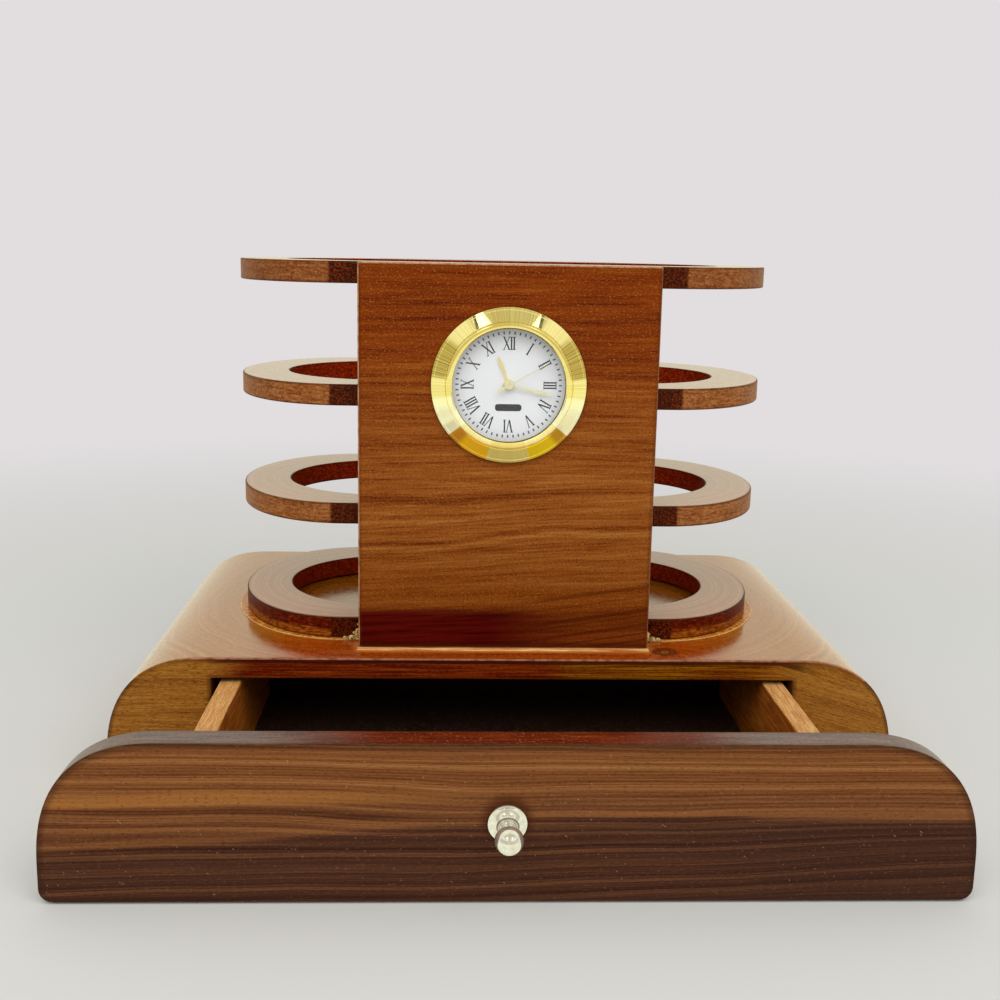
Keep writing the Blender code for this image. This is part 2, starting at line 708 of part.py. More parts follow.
def build_movement(axis, plastic, steel):
    outline = rounded_square(MOVEMENT_WIDTH, MOVEMENT_CORNER_RADIUS, MOVEMENT_CORNER_STEPS)
    case = flat_shape("movement_case", [outline], MOVEMENT_FRONT - MOVEMENT_BACK, parent=axis)
    case.matrix_parent_inverse = Matrix.Identity(4)
    case.location = (0.0, 0.0, (MOVEMENT_FRONT + MOVEMENT_BACK) / 2)
    case.rotation_euler = (0.0, 0.0, 0.0)
    place = (BATTERY_ACROSS, BATTERY_UP)
    cell_front = MOVEMENT_BACK + BATTERY_THICKNESS
    pocket = rod(
        "battery_pocket",
        BATTERY_RADIUS + SEAT_GAP,
        MOVEMENT_BACK - CUT_OVERRUN,
        cell_front + SEAT_GAP,
        place,
        parent=axis,
    )
    cut(case, pocket)
    bore = rod(
        "arbor_bore",
        ARBOR_BORE_RADIUS,
        MOVEMENT_FRONT - ARBOR_BORE_DEPTH,
        MOVEMENT_FRONT + CUT_OVERRUN,
        parent=axis,
    )
    cut(case, bore)
    stem = rod(
        "stem_bore",
        STEM_BORE_RADIUS,
        MOVEMENT_BACK - CUT_OVERRUN,
        -HOUSING_LENGTH + SET_KNOB_STEM_LENGTH + SEAT_GAP,
        (SET_KNOB_ACROSS, SET_KNOB_UP),
        parent=axis,
    )
    cut(case, stem)
    case.data.materials.append(plastic)

    rim = BATTERY_RADIUS - BATTERY_EDGE
    profile = [
        (0.0, cell_front),
        (rim, cell_front),
        (BATTERY_RADIUS, cell_front - BATTERY_EDGE),
        (BATTERY_RADIUS, MOVEMENT_BACK),
        (0.0, MOVEMENT_BACK),
    ]
    cell = turned("battery_cell", profile, SMALL_ROUND_STEPS, parent=axis)
    cell.location = (BATTERY_ACROSS, BATTERY_UP, 0.0)
    cell.data.materials.append(steel)


def build_battery_cover(axis, plastic):
    place = (BATTERY_ACROSS, BATTERY_UP)
    back = -HOUSING_LENGTH
    cover = rod("battery_cover", BATTERY_COVER_RADIUS, back, HOUSING_INNER_BACK, place, parent=axis)
    across, up = place
    slot = block(
        "coin_slot",
        (across - COIN_SLOT_LENGTH / 2, up - COIN_SLOT_WIDTH / 2, back - CUT_OVERRUN),
        (across + COIN_SLOT_LENGTH / 2, up + COIN_SLOT_WIDTH / 2, back + COIN_SLOT_DEPTH),
        parent=axis,
    )
    cut(cover, slot)
    cover.data.materials.append(plastic)


def build_set_knob(axis, plastic):
    """A toothed thumb wheel on a stem that goes through the back wall into the movement."""
    front = -(HOUSING_LENGTH + SEAT_GAP)
    points = []
    for step in range(2 * SET_KNOB_TEETH):
        angle = math.pi * step / SET_KNOB_TEETH
        radius = SET_KNOB_RADIUS - (SET_KNOB_TOOTH_DEPTH if step % 2 else 0.0)
        points.append((radius * math.cos(angle), radius * math.sin(angle)))
    wheel = flat_shape("set_knob", [points], SET_KNOB_THICKNESS, parent=axis)
    wheel.matrix_parent_inverse = Matrix.Identity(4)
    wheel.rotation_euler = (0.0, 0.0, 0.0)
    wheel.location = (SET_KNOB_ACROSS, SET_KNOB_UP, front - SET_KNOB_THICKNESS / 2)
    stem = rod(
        "set_knob_stem",
        SET_KNOB_STEM_RADIUS,
        front - SET_KNOB_THICKNESS / 2,
        -HOUSING_LENGTH + SET_KNOB_STEM_LENGTH,
        (SET_KNOB_ACROSS, SET_KNOB_UP),
        parent=axis,
    )
    join(wheel, stem)
    wheel.data.materials.append(plastic)


def blade_outline(hub, length, width, tail_length=0.0, tail_width=0.0):
    """A lance-shaped blade from inside its hub to its tip, with a tail behind the hub if asked."""
    root = width * HAND_ROOT_WIDTH_SHARE
    right = [(root / 2, hub), (width / 2, length * HAND_WIDEST_SHARE), (0.0, length)]
    left = [(-x, y) for x, y in reversed(right[:-1])]
    if tail_length:
        start = [(-root / 2, -hub), (-tail_width / 2, -tail_length), (tail_width / 2, -tail_length)]
        return right + left + start + [(root / 2, -hub)]
    return right + left


def build_hand(axis, name, height, degrees, blade, arbor, metal):
    """A hand: a turned hub with its arbor, and a flat blade let into the hub.

    arbor gives the hub's radius, the arbor's outer and inner radius, and the arbor's back end.
    """
    hub, outer, inner, end = arbor
    top = height + HAND_HUB_THICKNESS
    if inner:
        profile = [(hub, top), (hub, height), (outer, height), (outer, end), (inner, end), (inner, top)]
    else:
        profile = [(0.0, top), (hub, top), (hub, height), (outer, height), (outer, end), (0.0, end)]
    hand = turned(name, profile, HAND_STEPS, closed=bool(inner), parent=axis)
    shape = flat_shape(name + "_blade", [blade], HAND_BLADE_THICKNESS, parent=axis)
    shape.matrix_parent_inverse = Matrix.Identity(4)
    shape.rotation_euler = (0.0, 0.0, -math.radians(degrees))
    shape.location = (0.0, 0.0, height + HAND_HUB_THICKNESS / 2)
    join(hand, shape)
    hand.data.materials.append(metal)


def build_hands(axis, gold):
    hour = DIAL_FRONT + HAND_GAP
    minute = hour + HAND_HUB_THICKNESS + HAND_GAP
    second = minute + HAND_HUB_THICKNESS + HAND_GAP
    bore_end = MOVEMENT_FRONT - ARBOR_BORE_DEPTH + SEAT_GAP
    minute_inner = SECOND_ARBOR_RADIUS + ARBOR_GAP
    hour_inner = MINUTE_ARBOR_RADIUS + ARBOR_GAP
    blade = blade_outline((hour_inner + HOUR_HUB_RADIUS) / 2, HOUR_HAND_LENGTH, HOUR_HAND_WIDTH)
    arbor = (HOUR_HUB_RADIUS, HOUR_ARBOR_RADIUS, hour_inner, bore_end + 2 * ARBOR_GAP)
    build_hand(axis, "hour_hand", hour, HOUR_HAND_DEGREES, blade, arbor, gold)
    blade = blade_outline((minute_inner + MINUTE_HUB_RADIUS) / 2, MINUTE_HAND_LENGTH, MINUTE_HAND_WIDTH)
    arbor = (MINUTE_HUB_RADIUS, MINUTE_ARBOR_RADIUS, minute_inner, bore_end + ARBOR_GAP)
    build_hand(axis, "minute_hand", minute, MINUTE_HAND_DEGREES, blade, arbor, gold)
    blade = blade_outline(
        SECOND_HUB_RADIUS / 2, SECOND_HAND_LENGTH, SECOND_HAND_WIDTH, SECOND_TAIL_LENGTH, SECOND_TAIL_WIDTH
    )
    arbor = (SECOND_HUB_RADIUS, SECOND_ARBOR_RADIUS, 0.0, bore_end)
    build_hand(axis, "second_hand", second, SECOND_HAND_DEGREES, blade, arbor, gold)


def build_clock(gold, glass, plastic, rubber, paper, steel):
    axis = add_empty("clock_axis", (0.0, PANEL_FACE_Y, CLOCK_HEIGHT), (math.pi / 2, 0.0, 0.0))
    build_bezel(axis, gold)
    build_lens(axis, glass)
    build_housing(axis, plastic)
    build_gasket(axis, rubber)
    build_dial(axis, paper)
    build_movement(axis, plastic, steel)
    build_battery_cover(axis, plastic)
    build_set_knob(axis, plastic)
    build_hands(axis, gold)


def main():
    clear_scene()
    collection(PART_COLLECTION)
    hidden = collection(CUTTER_COLLECTION)
    hidden.hide_render = True

    wood_panel = material("panel_wood", (0.36, 0.13, 0.035), 0.4)
    wood_base = material("base_top_wood", (0.42, 0.2, 0.075), 0.4)
    wood_block = material("base_side_wood", (0.4, 0.21, 0.05), 0.45)
    wood_ring = material("ring_wood", (0.3, 0.12, 0.045), 0.4)
    wood_front = material("drawer_front_wood", (0.12, 0.045, 0.022), 0.4)
    wood_slat = material("drawer_slat_wood", (0.55, 0.31, 0.14), 0.6)
    board = material("drawer_bottom_board", (0.06, 0.035, 0.022), 0.7)
    gold = material("polished_gold", (0.9, 0.65, 0.22), 0.15, 1.0)
    nickel = material("nickel", (0.7, 0.69, 0.66), 0.2, 1.0)
    steel = material("zinc_steel", (0.5, 0.5, 0.5), 0.35, 1.0)
    glass = material("clear_lens", (0.95, 0.97, 0.98), 0.05)
    plastic = material("black_plastic", (0.02, 0.02, 0.022), 0.4)
    rubber = material("black_rubber", (0.015, 0.015, 0.015), 0.8)
    paper = material("dial_face", (0.8, 0.8, 0.83), 0.5)

    build_base(wood_base, wood_block, wood_block)
    build_panels(wood_panel)
    build_rings(wood_ring)
    slide, front = build_drawer(wood_front, wood_slat, board)
    build_knob(slide, front, nickel, steel)
    build_clock(gold, glass, plastic, rubber, paper, steel)


main()
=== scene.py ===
"""The finished look of a desk pen holder with a clock and a drawer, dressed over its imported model.

Metres, +Z up, and -Y towards the viewer. Each board, turned part and printed mark is modelled here
at the place of the solid that it stands for. Wood, lacquer and metal are procedural.
"""

import json
import math

import bmesh
import bpy
from mathutils import Matrix, Vector


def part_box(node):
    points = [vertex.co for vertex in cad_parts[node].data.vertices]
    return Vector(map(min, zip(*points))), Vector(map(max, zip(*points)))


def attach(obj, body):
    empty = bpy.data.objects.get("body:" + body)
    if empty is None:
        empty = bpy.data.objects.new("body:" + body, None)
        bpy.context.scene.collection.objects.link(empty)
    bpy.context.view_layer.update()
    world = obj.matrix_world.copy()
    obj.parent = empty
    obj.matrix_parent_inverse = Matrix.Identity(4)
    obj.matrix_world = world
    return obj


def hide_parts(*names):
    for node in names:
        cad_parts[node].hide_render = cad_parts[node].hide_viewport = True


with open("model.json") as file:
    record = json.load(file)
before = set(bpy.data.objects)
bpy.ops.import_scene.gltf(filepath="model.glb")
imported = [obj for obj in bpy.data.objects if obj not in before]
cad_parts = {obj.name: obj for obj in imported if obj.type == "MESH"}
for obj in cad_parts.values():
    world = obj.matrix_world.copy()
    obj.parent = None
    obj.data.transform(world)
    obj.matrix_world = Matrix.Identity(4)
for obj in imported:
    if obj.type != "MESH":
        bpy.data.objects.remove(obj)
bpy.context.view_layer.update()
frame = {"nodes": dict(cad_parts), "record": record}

MM = 0.001
RECORD = frame["record"]
BODY_OF = {node: body for body, nodes in RECORD["behaviour"]["bodies"].items() for node in nodes}

# The loaf section that the base and the drawer front share
SHOULDER_WIDTH = 26.8 * MM
SHOULDER_HEIGHT = 29.1 * MM
SHOULDER_PROFILE = 0.5 ** (2 / 2.53)
SHOULDER_STEPS = 26
FOOT_RADIUS = 3.0 * MM
FOOT_STEPS = 6
BOARD_EDGE = 0.35 * MM
BOARD_RIM = 1.5 * MM
JOINT_SHIFT = 0.1 * MM

# Panels and rings
PANEL_EDGE = 0.3 * MM
PANEL_RIM = 1.4 * MM
SIDE_RIM = 0.7 * MM
NARROW_SIDE = 100 * MM * MM
BORE_STEPS = 160
RING_STEPS = 128
RING_END = 31.2 * MM
RING_HOLE_HALF = (61.1 * MM, 28.3 * MM)
RING_HOLE_END = 28.5 * MM
RING_EDGE = 0.35 * MM
RING_RIM = 1.6 * MM
FLAT = 0.97

# Drawer
DRAWER_EDGE = 0.9 * MM
DRAWER_RIM = 2.2 * MM
GROOVE_DEPTH = 2.4 * MM
GROOVE_GAP = 0.3 * MM
SCREW_HOLE = 1.3 * MM

# Clock: its bore and housing, the dial's printing and the hands
CLOCK_BORE = 18.35 * MM
HATCH_GAP = 0.3 * MM
STEM_HOLE = 1.0 * MM
BACK_WALL = (5.5 * MM, 9.0 * MM)
TURNED_STEPS = 160
SMALL_STEPS = 64
MINUTE_MARK = (0.36 * MM, 0.75 * MM)
MINUTE_MARK_MIDDLE = 13.2 * MM
NUMERAL_HEIGHT = 3.3 * MM
NUMERAL_MIDDLE = 10.55 * MM
STEM_WIDTH = 0.36 * MM
HAIR_WIDTH = 0.19 * MM
SERIF_WIDTH = 0.7 * MM
SERIF_HEIGHT = 0.16 * MM
STEM_PITCH = 0.69 * MM
LETTER_SPREAD = 1.35 * MM
LETTER_GAP = 0.4 * MM
PRINT_HEIGHT = 0.02 * MM
PILL_SIZE = (6.8 * MM, 1.8 * MM)
PILL_DROP = 5.8 * MM
HUB_THICKNESS = 0.25 * MM
HUB_DOME = 0.12 * MM
PIN_RADIUS = 0.34 * MM
PIN_GROOVE = 0.14 * MM
BLADE_THICKNESS = 0.12 * MM
BLADE_CHAMFER = 0.1 * MM
BLADE_RISE = 0.05 * MM
HAND_WIDEST_SHARE = 0.7
HOUR_TURN = math.radians(339)
MINUTE_TURN = math.radians(102)
SECOND_TURN = math.radians(60)

# Small things on the base: a knot, the film and line of glue, and its crumbs; the line's pale tones paint a
# highlight along the panel's foot
KNOT = (42.8, -50.5)
KNOT_SIZE = 3.6
FILM_REACH = (2.2 * MM, 1.2 * MM)
FILM_LAP = 0.4 * MM
FILM_HEIGHT = 0.22 * MM
FILM_RIM = 0.3 * MM
LINE_SPREAD = 0.3 * MM
LINE_BEFORE_PANEL = 1.7 * MM
LINE_UNDER_PANEL = 0.6 * MM
LINE_GAP = 0.02 * MM
LINE_EDGE = 0.12 * MM
CRUMB_START = 0.2 * MM
CRUMBS = (
    (0.4, 0.7, 0.5, 2.6),
    (2.2, 0.9, 0.2, 2.2),
    (3.9, 0.8, 0.1, 1.5),
    (0.3, 0.4, 2.2, 1.7),
    (1.3, 0.4, 1.5, 1.3),
    (0.2, 0.3, 3.9, 1.1),
)

# The angles above which an edge is shaded sharp, rounded, and marked as a rim for wear and painted
# highlights
ROUND_SHADING = math.radians(32)
BEVEL_ABOVE = math.radians(40)
RIM_ABOVE = math.radians(9)

# The photo's camera, and the studio
CAMERA_PLACE = Vector((-15.1096, -364.5477, 141.2857)) * MM
CAMERA_YAW = 0.0425
CAMERA_PITCH = 0.1992
CAMERA_ROLL = -0.0189
CAMERA_LENS = 44.905
CAMERA_SENSOR = 36.0
BACKGROUND_COLOUR = (0.76, 0.73, 0.745, 1.0)
MIRRORED_COLOUR = (1.0, 0.99, 0.78, 1.0)
DIM_COLOUR = (0.64, 0.58, 0.44, 1.0)
WALL_COLOUR = (0.98, 0.94, 0.82, 1.0)
FILL_COLOUR = (0.72, 0.72, 0.72, 1.0)
FLOOR_COLOUR = (0.63, 0.63, 0.595, 1.0)
FLOOR_RADIUS = 6.0
FLOOR_FADE = (160.0, 640.0)
LAMP_TARGET = (0.0, 0.0, 0.06)
LEFT_LAMP = (-0.405, -0.884, 0.969)
RIGHT_LAMP = (0.498, -0.844, 0.957)
LEFT_FLAG = (-0.52, -0.85, 0.87)
RIGHT_FLAG = (0.58, -0.81, 0.88)
FLAG_SIZE = (0.042, 0.4)
LAMP_SIZE = 0.9
LAMP_POWER = 5.4
CARD_SIZES = (0.28, 0.2)
CARD_POWERS = (0.54, 0.28)


def choose(piece):
    """Makes the piece the only selected object, and the active one."""
    bpy.ops.object.select_all(action="DESELECT")
    piece.select_set(True)
    bpy.context.view_layer.objects.active = piece


def settle(name):
    """Names the object just added, and puts its place, turn and scale into its mesh."""
    piece = bpy.context.active_object
    piece.name = name
    piece.data.name = name
    bpy.ops.object.transform_apply(location=True, rotation=True, scale=True)
    return piece


def edit(piece):
    choose(piece)
    bpy.ops.object.mode_set(mode="EDIT")


def leave_edit():
    bpy.ops.object.mode_set(mode="OBJECT")


def middle(element):
    """The middle of a vertex, an edge or a face."""
    if isinstance(element, bmesh.types.BMVert):
        return element.co
    total = Vector()
    for corner in element.verts:
        total += corner.co
    return total / len(element.verts)


def select_whole():
    """In edit mode, selects the whole mesh."""
    bpy.ops.mesh.select_all(action="SELECT")


def pick(piece, kind, test):
    """In edit mode, selects only the vertices, edges or faces that pass the test."""
    bpy.ops.mesh.select_mode(type=kind)
    bpy.ops.mesh.select_all(action="DESELECT")
    shape = bmesh.from_edit_mesh(piece.data)
    for element in {"VERT": shape.verts, "EDGE": shape.edges, "FACE": shape.faces}[kind]:
        if test(element):
            element.select_set(True)
    shape.select_flush_mode()
    bmesh.update_edit_mesh(piece.data)


def block(name, low, high):
    """A box between two corners."""
    low = Vector(low)
    high = Vector(high)
    bpy.ops.mesh.primitive_cube_add(size=1.0, location=(low + high) / 2)
    bpy.context.active_object.scale = high - low
    return settle(name)


def rod(name, radius, start, end, steps):
    """A cylinder that runs from start to end along Y."""
    bpy.ops.mesh.primitive_cylinder_add(
        vertices=steps,
        radius=radius,
        depth=(end - start).length,
        location=(start + end) / 2,
        rotation=(math.pi / 2, 0.0, 0.0),
    )
    return settle(name)


def copy_of(piece, name):
    choose(piece)
    bpy.ops.object.duplicate()
    made = bpy.context.active_object
    made.name = name
    made.data.name = name
    return made


def join(pieces, name):
    choose(pieces[0])
    for piece in pieces[1:]:
        piece.select_set(True)
    bpy.ops.object.join()
    return settle(name)


def carve(piece, cutter):
    """Cuts one shape out of another, and takes the cutter away."""
    choose(piece)
    cut = piece.modifiers.new("cut", "BOOLEAN")
    cut.operation = "DIFFERENCE"
    cut.object = cutter
    bpy.ops.object.modifier_apply(modifier=cut.name)
    bpy.data.objects.remove(cutter, do_unlink=True)


def keep_side(piece, place, normal):
    """Cuts the piece by a plane, fills the cut and keeps what lies behind the normal."""
    edit(piece)
    select_whole()
    bpy.ops.mesh.bisect(plane_co=place, plane_no=normal, use_fill=True, clear_outer=True)
    leave_edit()


def thicken(offset):
    """In edit mode, draws the selected faces out into a solid that faces outward, and ends the edit."""
    bpy.ops.mesh.extrude_region_move(TRANSFORM_OT_translate={"value": offset})
    select_whole()
    bpy.ops.mesh.normals_make_consistent(inside=False)
    leave_edit()


def trace(name, start, steps):
    """A new line of corners from the start, one step after another, left in edit mode and selected."""
    bpy.ops.mesh.primitive_plane_add(size=MM, location=start)
    piece = settle(name)
    edit(piece)
    bpy.ops.mesh.select_mode(type="VERT")
    select_whole()
    bpy.ops.mesh.merge(type="CENTER")
    for step in steps:
        bpy.ops.mesh.extrude_region_move(TRANSFORM_OT_translate={"value": step})
    select_whole()
    return piece


def band(name, outer, inner, height):
    """A flat band between two outlines, drawn up to its height."""
    piece = join([outer, inner], name)
    edit(piece)
    select_whole()
    bpy.ops.mesh.bridge_edge_loops()
    select_whole()
    thicken((0.0, 0.0, height))
    return piece


def inset_faces(piece, test, width, each=False):
    """Draws a rim inside the edge of the faces that pass the test, round them all or round each."""
    edit(piece)
    pick(piece, "FACE", test)
    bpy.ops.mesh.inset(thickness=width, depth=0.0, use_individual=each)
    leave_edit()


def soften(piece, width, segments=3):
    """Rounds the sharp edges, shades the piece smooth and keeps its flat faces flat."""
    choose(piece)
    rounded = piece.modifiers.new("rounded_edges", "BEVEL")
    rounded.width = width
    rounded.segments = segments
    rounded.limit_method = "ANGLE"
    rounded.angle_limit = BEVEL_ABOVE
    bpy.ops.object.modifier_apply(modifier=rounded.name)
    shade(piece)


def shade(piece):
    choose(piece)
    bpy.ops.object.shade_smooth_by_angle(angle=ROUND_SHADING)
    even = piece.modifiers.new("even_shading", "WEIGHTED_NORMAL")
    even.keep_sharp = True
    bpy.ops.object.modifier_apply(modifier=even.name)


def mark_rim(piece):
    """Stores 1 on each corner where the surface turns, and 0 inside its flat or gently curved faces."""
    shape = bmesh.new()
    shape.from_mesh(piece.data)
    turned_edge = [edge.calc_face_angle(0.0) > RIM_ABOVE for edge in shape.edges]
    values = [float(any(turned_edge[e.index] for e in corner.link_edges)) for corner in shape.verts]
    shape.free()
    layer = piece.data.attributes.new("rim", "FLOAT", "POINT")
    layer.data.foreach_set("value", values)


def dress(piece, node, finish, stands=True):
    """Gives the piece its finish and lets it ride on the body of the solid that it stands for."""
    piece.data.materials.clear()
    piece.data.materials.append(finish)
    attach(piece, BODY_OF[node])
    if stands:
        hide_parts(node)


def finish_faces(piece, finish, test):
    """Gives the faces that pass the test another finish."""
    piece.data.materials.append(finish)
    number = len(piece.data.materials) - 1
    for face in piece.data.polygons:
        if test(face):
            face.material_index = number


def faces_front(face):
    return face.normal.y < -0.5


def repaint(node, finish):
    """Keeps a solid's own shape and gives it a better finish."""
    for place in frame["nodes"][node].material_slots:
        place.material = finish


def loaf(name, low, high):
    """A block with full round shoulders and small round foot corners, straight from front to back."""
    stretch = SHOULDER_HEIGHT / SHOULDER_WIDTH
    top = low.z + (high.z - low.z) / stretch
    piece = block(name, low, (high.x, high.y, top))
    edit(piece)

    def is_long_edge(edge, height):
        along = edge.verts[0].co - edge.verts[1].co
        return abs(along.y) > high.y - low.y - MM and abs(middle(edge).z - height) < MM

    pick(piece, "EDGE", lambda edge: is_long_edge(edge, top))
    bpy.ops.mesh.bevel(offset=SHOULDER_WIDTH, segments=SHOULDER_STEPS, profile=SHOULDER_PROFILE)
    select_whole()
    bpy.ops.transform.resize(value=(1.0, 1.0, stretch), center_override=(0.0, 0.0, low.z))
    pick(piece, "EDGE", lambda edge: is_long_edge(edge, low.z))
    bpy.ops.mesh.bevel(offset=FOOT_RADIUS, segments=FOOT_STEPS)
    leave_edit()
    return piece


def runs_through(face):
    """True for the faces that run from the front of the base to its back."""
    return abs(face.normal.y) < 0.05


def base_pieces(top_finish, strip_finish, side_finish):
    """The loaf with its tunnel, shaped whole as a maker sands it, then parted at the glue lines."""
    low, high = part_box("base_bottom_board")
    top_low, top_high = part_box("base_top_board")
    block_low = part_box("base_side_block_right")[0]
    whole = loaf("base_loaf", low, Vector((high.x, high.y, top_high.z)))
    tunnel = block_low.x
    reach = Vector((0.0, high.y * 2, 0.0))
    carve(
        whole,
        block(
            "tunnel_cutter",
            Vector((-tunnel, 0.0, high.z)) - reach,
            Vector((tunnel, 0.0, top_low.z)) + reach,
        ),
    )

    def is_end(face):
        return abs(face.normal.y) > 0.9

    def is_outside(face):
        at = middle(face)
        inside = abs(at.x) < tunnel + MM and high.z - MM < at.z < top_low.z + MM
        return not is_end(face) and not inside

    inset_faces(whole, is_end, BOARD_RIM)
    inset_faces(whole, is_outside, BOARD_RIM)
    soften(whole, BOARD_EDGE)
    mark_rim(whole)

    upper_joint = Vector((0.0, 0.0, top_low.z - JOINT_SHIFT))
    lower_joint = Vector((0.0, 0.0, high.z + JOINT_SHIFT))
    up = Vector((0.0, 0.0, 1.0))
    right = Vector((1.0, 0.0, 0.0))

    top = copy_of(whole, "base_top_board_finished")
    keep_side(top, upper_joint, -up)
    shade(top)
    dress(top, "base_top_board", top_finish)
    finish_faces(top, strip_finish, lambda face: not runs_through(face))
    bottom = copy_of(whole, "base_bottom_board_finished")
    keep_side(bottom, lower_joint, up)
    shade(bottom)
    dress(bottom, "base_bottom_board", side_finish)
    finish_faces(bottom, top_finish, lambda face: runs_through(face) and abs(face.normal.x) > 0.1)
    for side, outward in (("left", -right), ("right", right)):
        piece = copy_of(whole, f"base_side_block_{side}_finished")
        keep_side(piece, upper_joint, up)
        keep_side(piece, lower_joint, -up)
        keep_side(piece, Vector(), -outward)
        shade(piece)
        dress(piece, f"base_side_block_{side}", side_finish)
        finish_faces(piece, top_finish, lambda face: runs_through(face) and face.normal.dot(outward) > 0.1)
    bpy.data.objects.remove(whole, do_unlink=True)


def panel_pieces(finish, edge_finish):
    """The two upright boards of the column, the front one bored for the clock."""

    def is_side(face):
        return face.calc_area() > NARROW_SIDE and abs(face.normal.y) < 0.1

    for node in ("front_panel", "back_panel"):
        low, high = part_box(node)
        piece = block(node + "_finished", low, high)
        if node == "front_panel":
            centre = clock_centre()
            overrun = Vector((0.0, PANEL_RIM, 0.0))
            back = Vector((centre.x, high.y, centre.z))
            carve(piece, rod("bore_cutter", CLOCK_BORE, centre - overrun, back + overrun, BORE_STEPS))
        inset_faces(piece, lambda face: abs(face.normal.y) > 0.9, PANEL_RIM)
        inset_faces(piece, is_side, SIDE_RIM, each=True)
        soften(piece, PANEL_EDGE)
        mark_rim(piece)
        dress(piece, node, edge_finish)
        finish_faces(piece, finish, lambda face: abs(face.normal.y) > FLAT)


def oval(name, half, end, height):
    """An oval outline: two half ellipses that straight sides join."""
    bpy.ops.mesh.primitive_circle_add(
        vertices=RING_STEPS,
        radius=1.0,
        location=(0.0, 0.0, height),
        rotation=(0.0, 0.0, math.pi / RING_STEPS),
    )
    piece = settle(name)
    edit(piece)
    select_whole()
    bpy.ops.transform.resize(value=(end, half[1], 1.0), center_override=(0.0, 0.0, height))
    for side in (-1, 1):
        pick(piece, "VERT", lambda corner: corner.co.x * side > 0.0)
        bpy.ops.transform.translate(value=(side * (half[0] - end), 0.0, 0.0))
    leave_edit()
    return piece


def gauge(place, half, end):
    """1 on an oval's outline, less inside it and more outside."""
    beyond = max(0.0, abs(place.x) - (half[0] - end))
    return math.hypot(beyond / end, place.y / half[1])


def facing_middle(face):
    """True where an upright face of a ring looks in over its hole."""
    return face.normal.x * face.center.x + face.normal.y * face.center.y < 0.0


def ring_pieces(top_finish, side_finish, hole_finish):
    """The oval rings between the panels, each a flat band between two ovals."""
    for node in ("ring_on_base", "ring_lower", "ring_upper", "ring_top"):
        low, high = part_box(node)
        half = (high.x, high.y)
        outer = oval(node + "_outline", half, RING_END, low.z)
        hole = oval(node + "_hole", RING_HOLE_HALF, RING_HOLE_END, low.z)
        piece = band(node + "_finished", outer, hole, high.z - low.z)
        inset_faces(piece, lambda face: abs(face.normal.z) > 0.9, RING_RIM)
        inset_faces(piece, lambda face: abs(face.normal.z) < 0.1, SIDE_RIM)
        soften(piece, RING_EDGE)
        mark_rim(piece)
        inward = piece.data.attributes.new("inward", "FLOAT", "POINT")
        values = []
        for corner in piece.data.vertices:
            from_outside = 1.0 - gauge(corner.co, half, RING_END)
            from_hole = gauge(corner.co, RING_HOLE_HALF, RING_HOLE_END) - 1.0
            values.append(from_outside / (from_outside + from_hole))
        inward.data.foreach_set("value", values)
        dress(piece, node, top_finish)
        upright = {face.index for face in piece.data.polygons if abs(face.normal.z) < FLAT}
        in_hole = {index for index in upright if facing_middle(piece.data.polygons[index])}
        outside = upright - in_hole
        finish_faces(piece, side_finish, lambda face: face.index in outside)
        finish_faces(piece, hole_finish, lambda face: face.index in in_hole)


def drawer_pieces(front_finish, edge_finish, slat_finish):
    """The drawer's shaped front, and the slats of its box."""
    low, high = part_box("drawer_front")
    floor_low, floor_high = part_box("drawer_bottom")
    front = loaf("drawer_front_finished", low, high)
    groove = block(
        "groove_cutter",
        Vector((-floor_high.x, high.y - GROOVE_DEPTH, floor_low.z - GROOVE_GAP)),
        Vector((floor_high.x, high.y + GROOVE_DEPTH, floor_high.z + GROOVE_GAP)),
    )
    carve(front, groove)
    axis = middle_of("knob_screw")
    start = Vector((axis.x, low.y - GROOVE_DEPTH, axis.z))
    end = Vector((axis.x, high.y + GROOVE_DEPTH, axis.z))
    carve(front, rod("screw_hole_cutter", SCREW_HOLE, start, end, SMALL_STEPS))
    inset_faces(front, lambda face: face.normal.y < -0.9, DRAWER_RIM)
    inset_faces(front, lambda face: abs(face.normal.y) < 0.5 and middle(face).y < high.y, BOARD_RIM)
    soften(front, DRAWER_EDGE, segments=4)
    mark_rim(front)
    dress(front, "drawer_front", edge_finish)
    finish_faces(front, front_finish, faces_front)
    for node in ("drawer_side_left", "drawer_side_right", "drawer_back"):
        repaint(node, slat_finish)


def turned(name, profile, centre, steps):
    """A profile of (radius, height) spun about Y through the centre, heights towards the viewer."""
    places = [centre + Vector((radius, -height, 0.0)) for radius, height in profile]
    piece = trace(name, places[0], [there - here for here, there in zip(places, places[1:])])
    bpy.ops.mesh.spin(steps=steps, angle=2 * math.pi, center=centre, axis=(0.0, 1.0, 0.0))
    select_whole()
    bpy.ops.mesh.remove_doubles(threshold=0.000001)
    bpy.ops.mesh.normals_make_consistent(inside=False)
    leave_edit()
    return piece


def middle_of(node):
    """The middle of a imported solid."""
    low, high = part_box(node)
    return (low + high) / 2


def clock_centre():
    """Where the clock's axis leaves the front panel's face."""
    lens = middle_of("clock_lens")
    return Vector((lens.x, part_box("front_panel")[0].y, lens.z))


def arc(centre, radii, first, last, steps):
    """Points on an ellipse in (radius, height), between two angles in degrees."""
    points = []
    for step in range(steps + 1):
        angle = math.radians(first + (last - first) * step / steps)
        points.append((centre[0] + radii[0] * math.cos(angle), centre[1] + radii[1] * math.sin(angle)))
    return points


def in_mm(points):
    """Points measured in millimetres, as metres."""
    return [(radius * MM, height * MM) for radius, height in points]


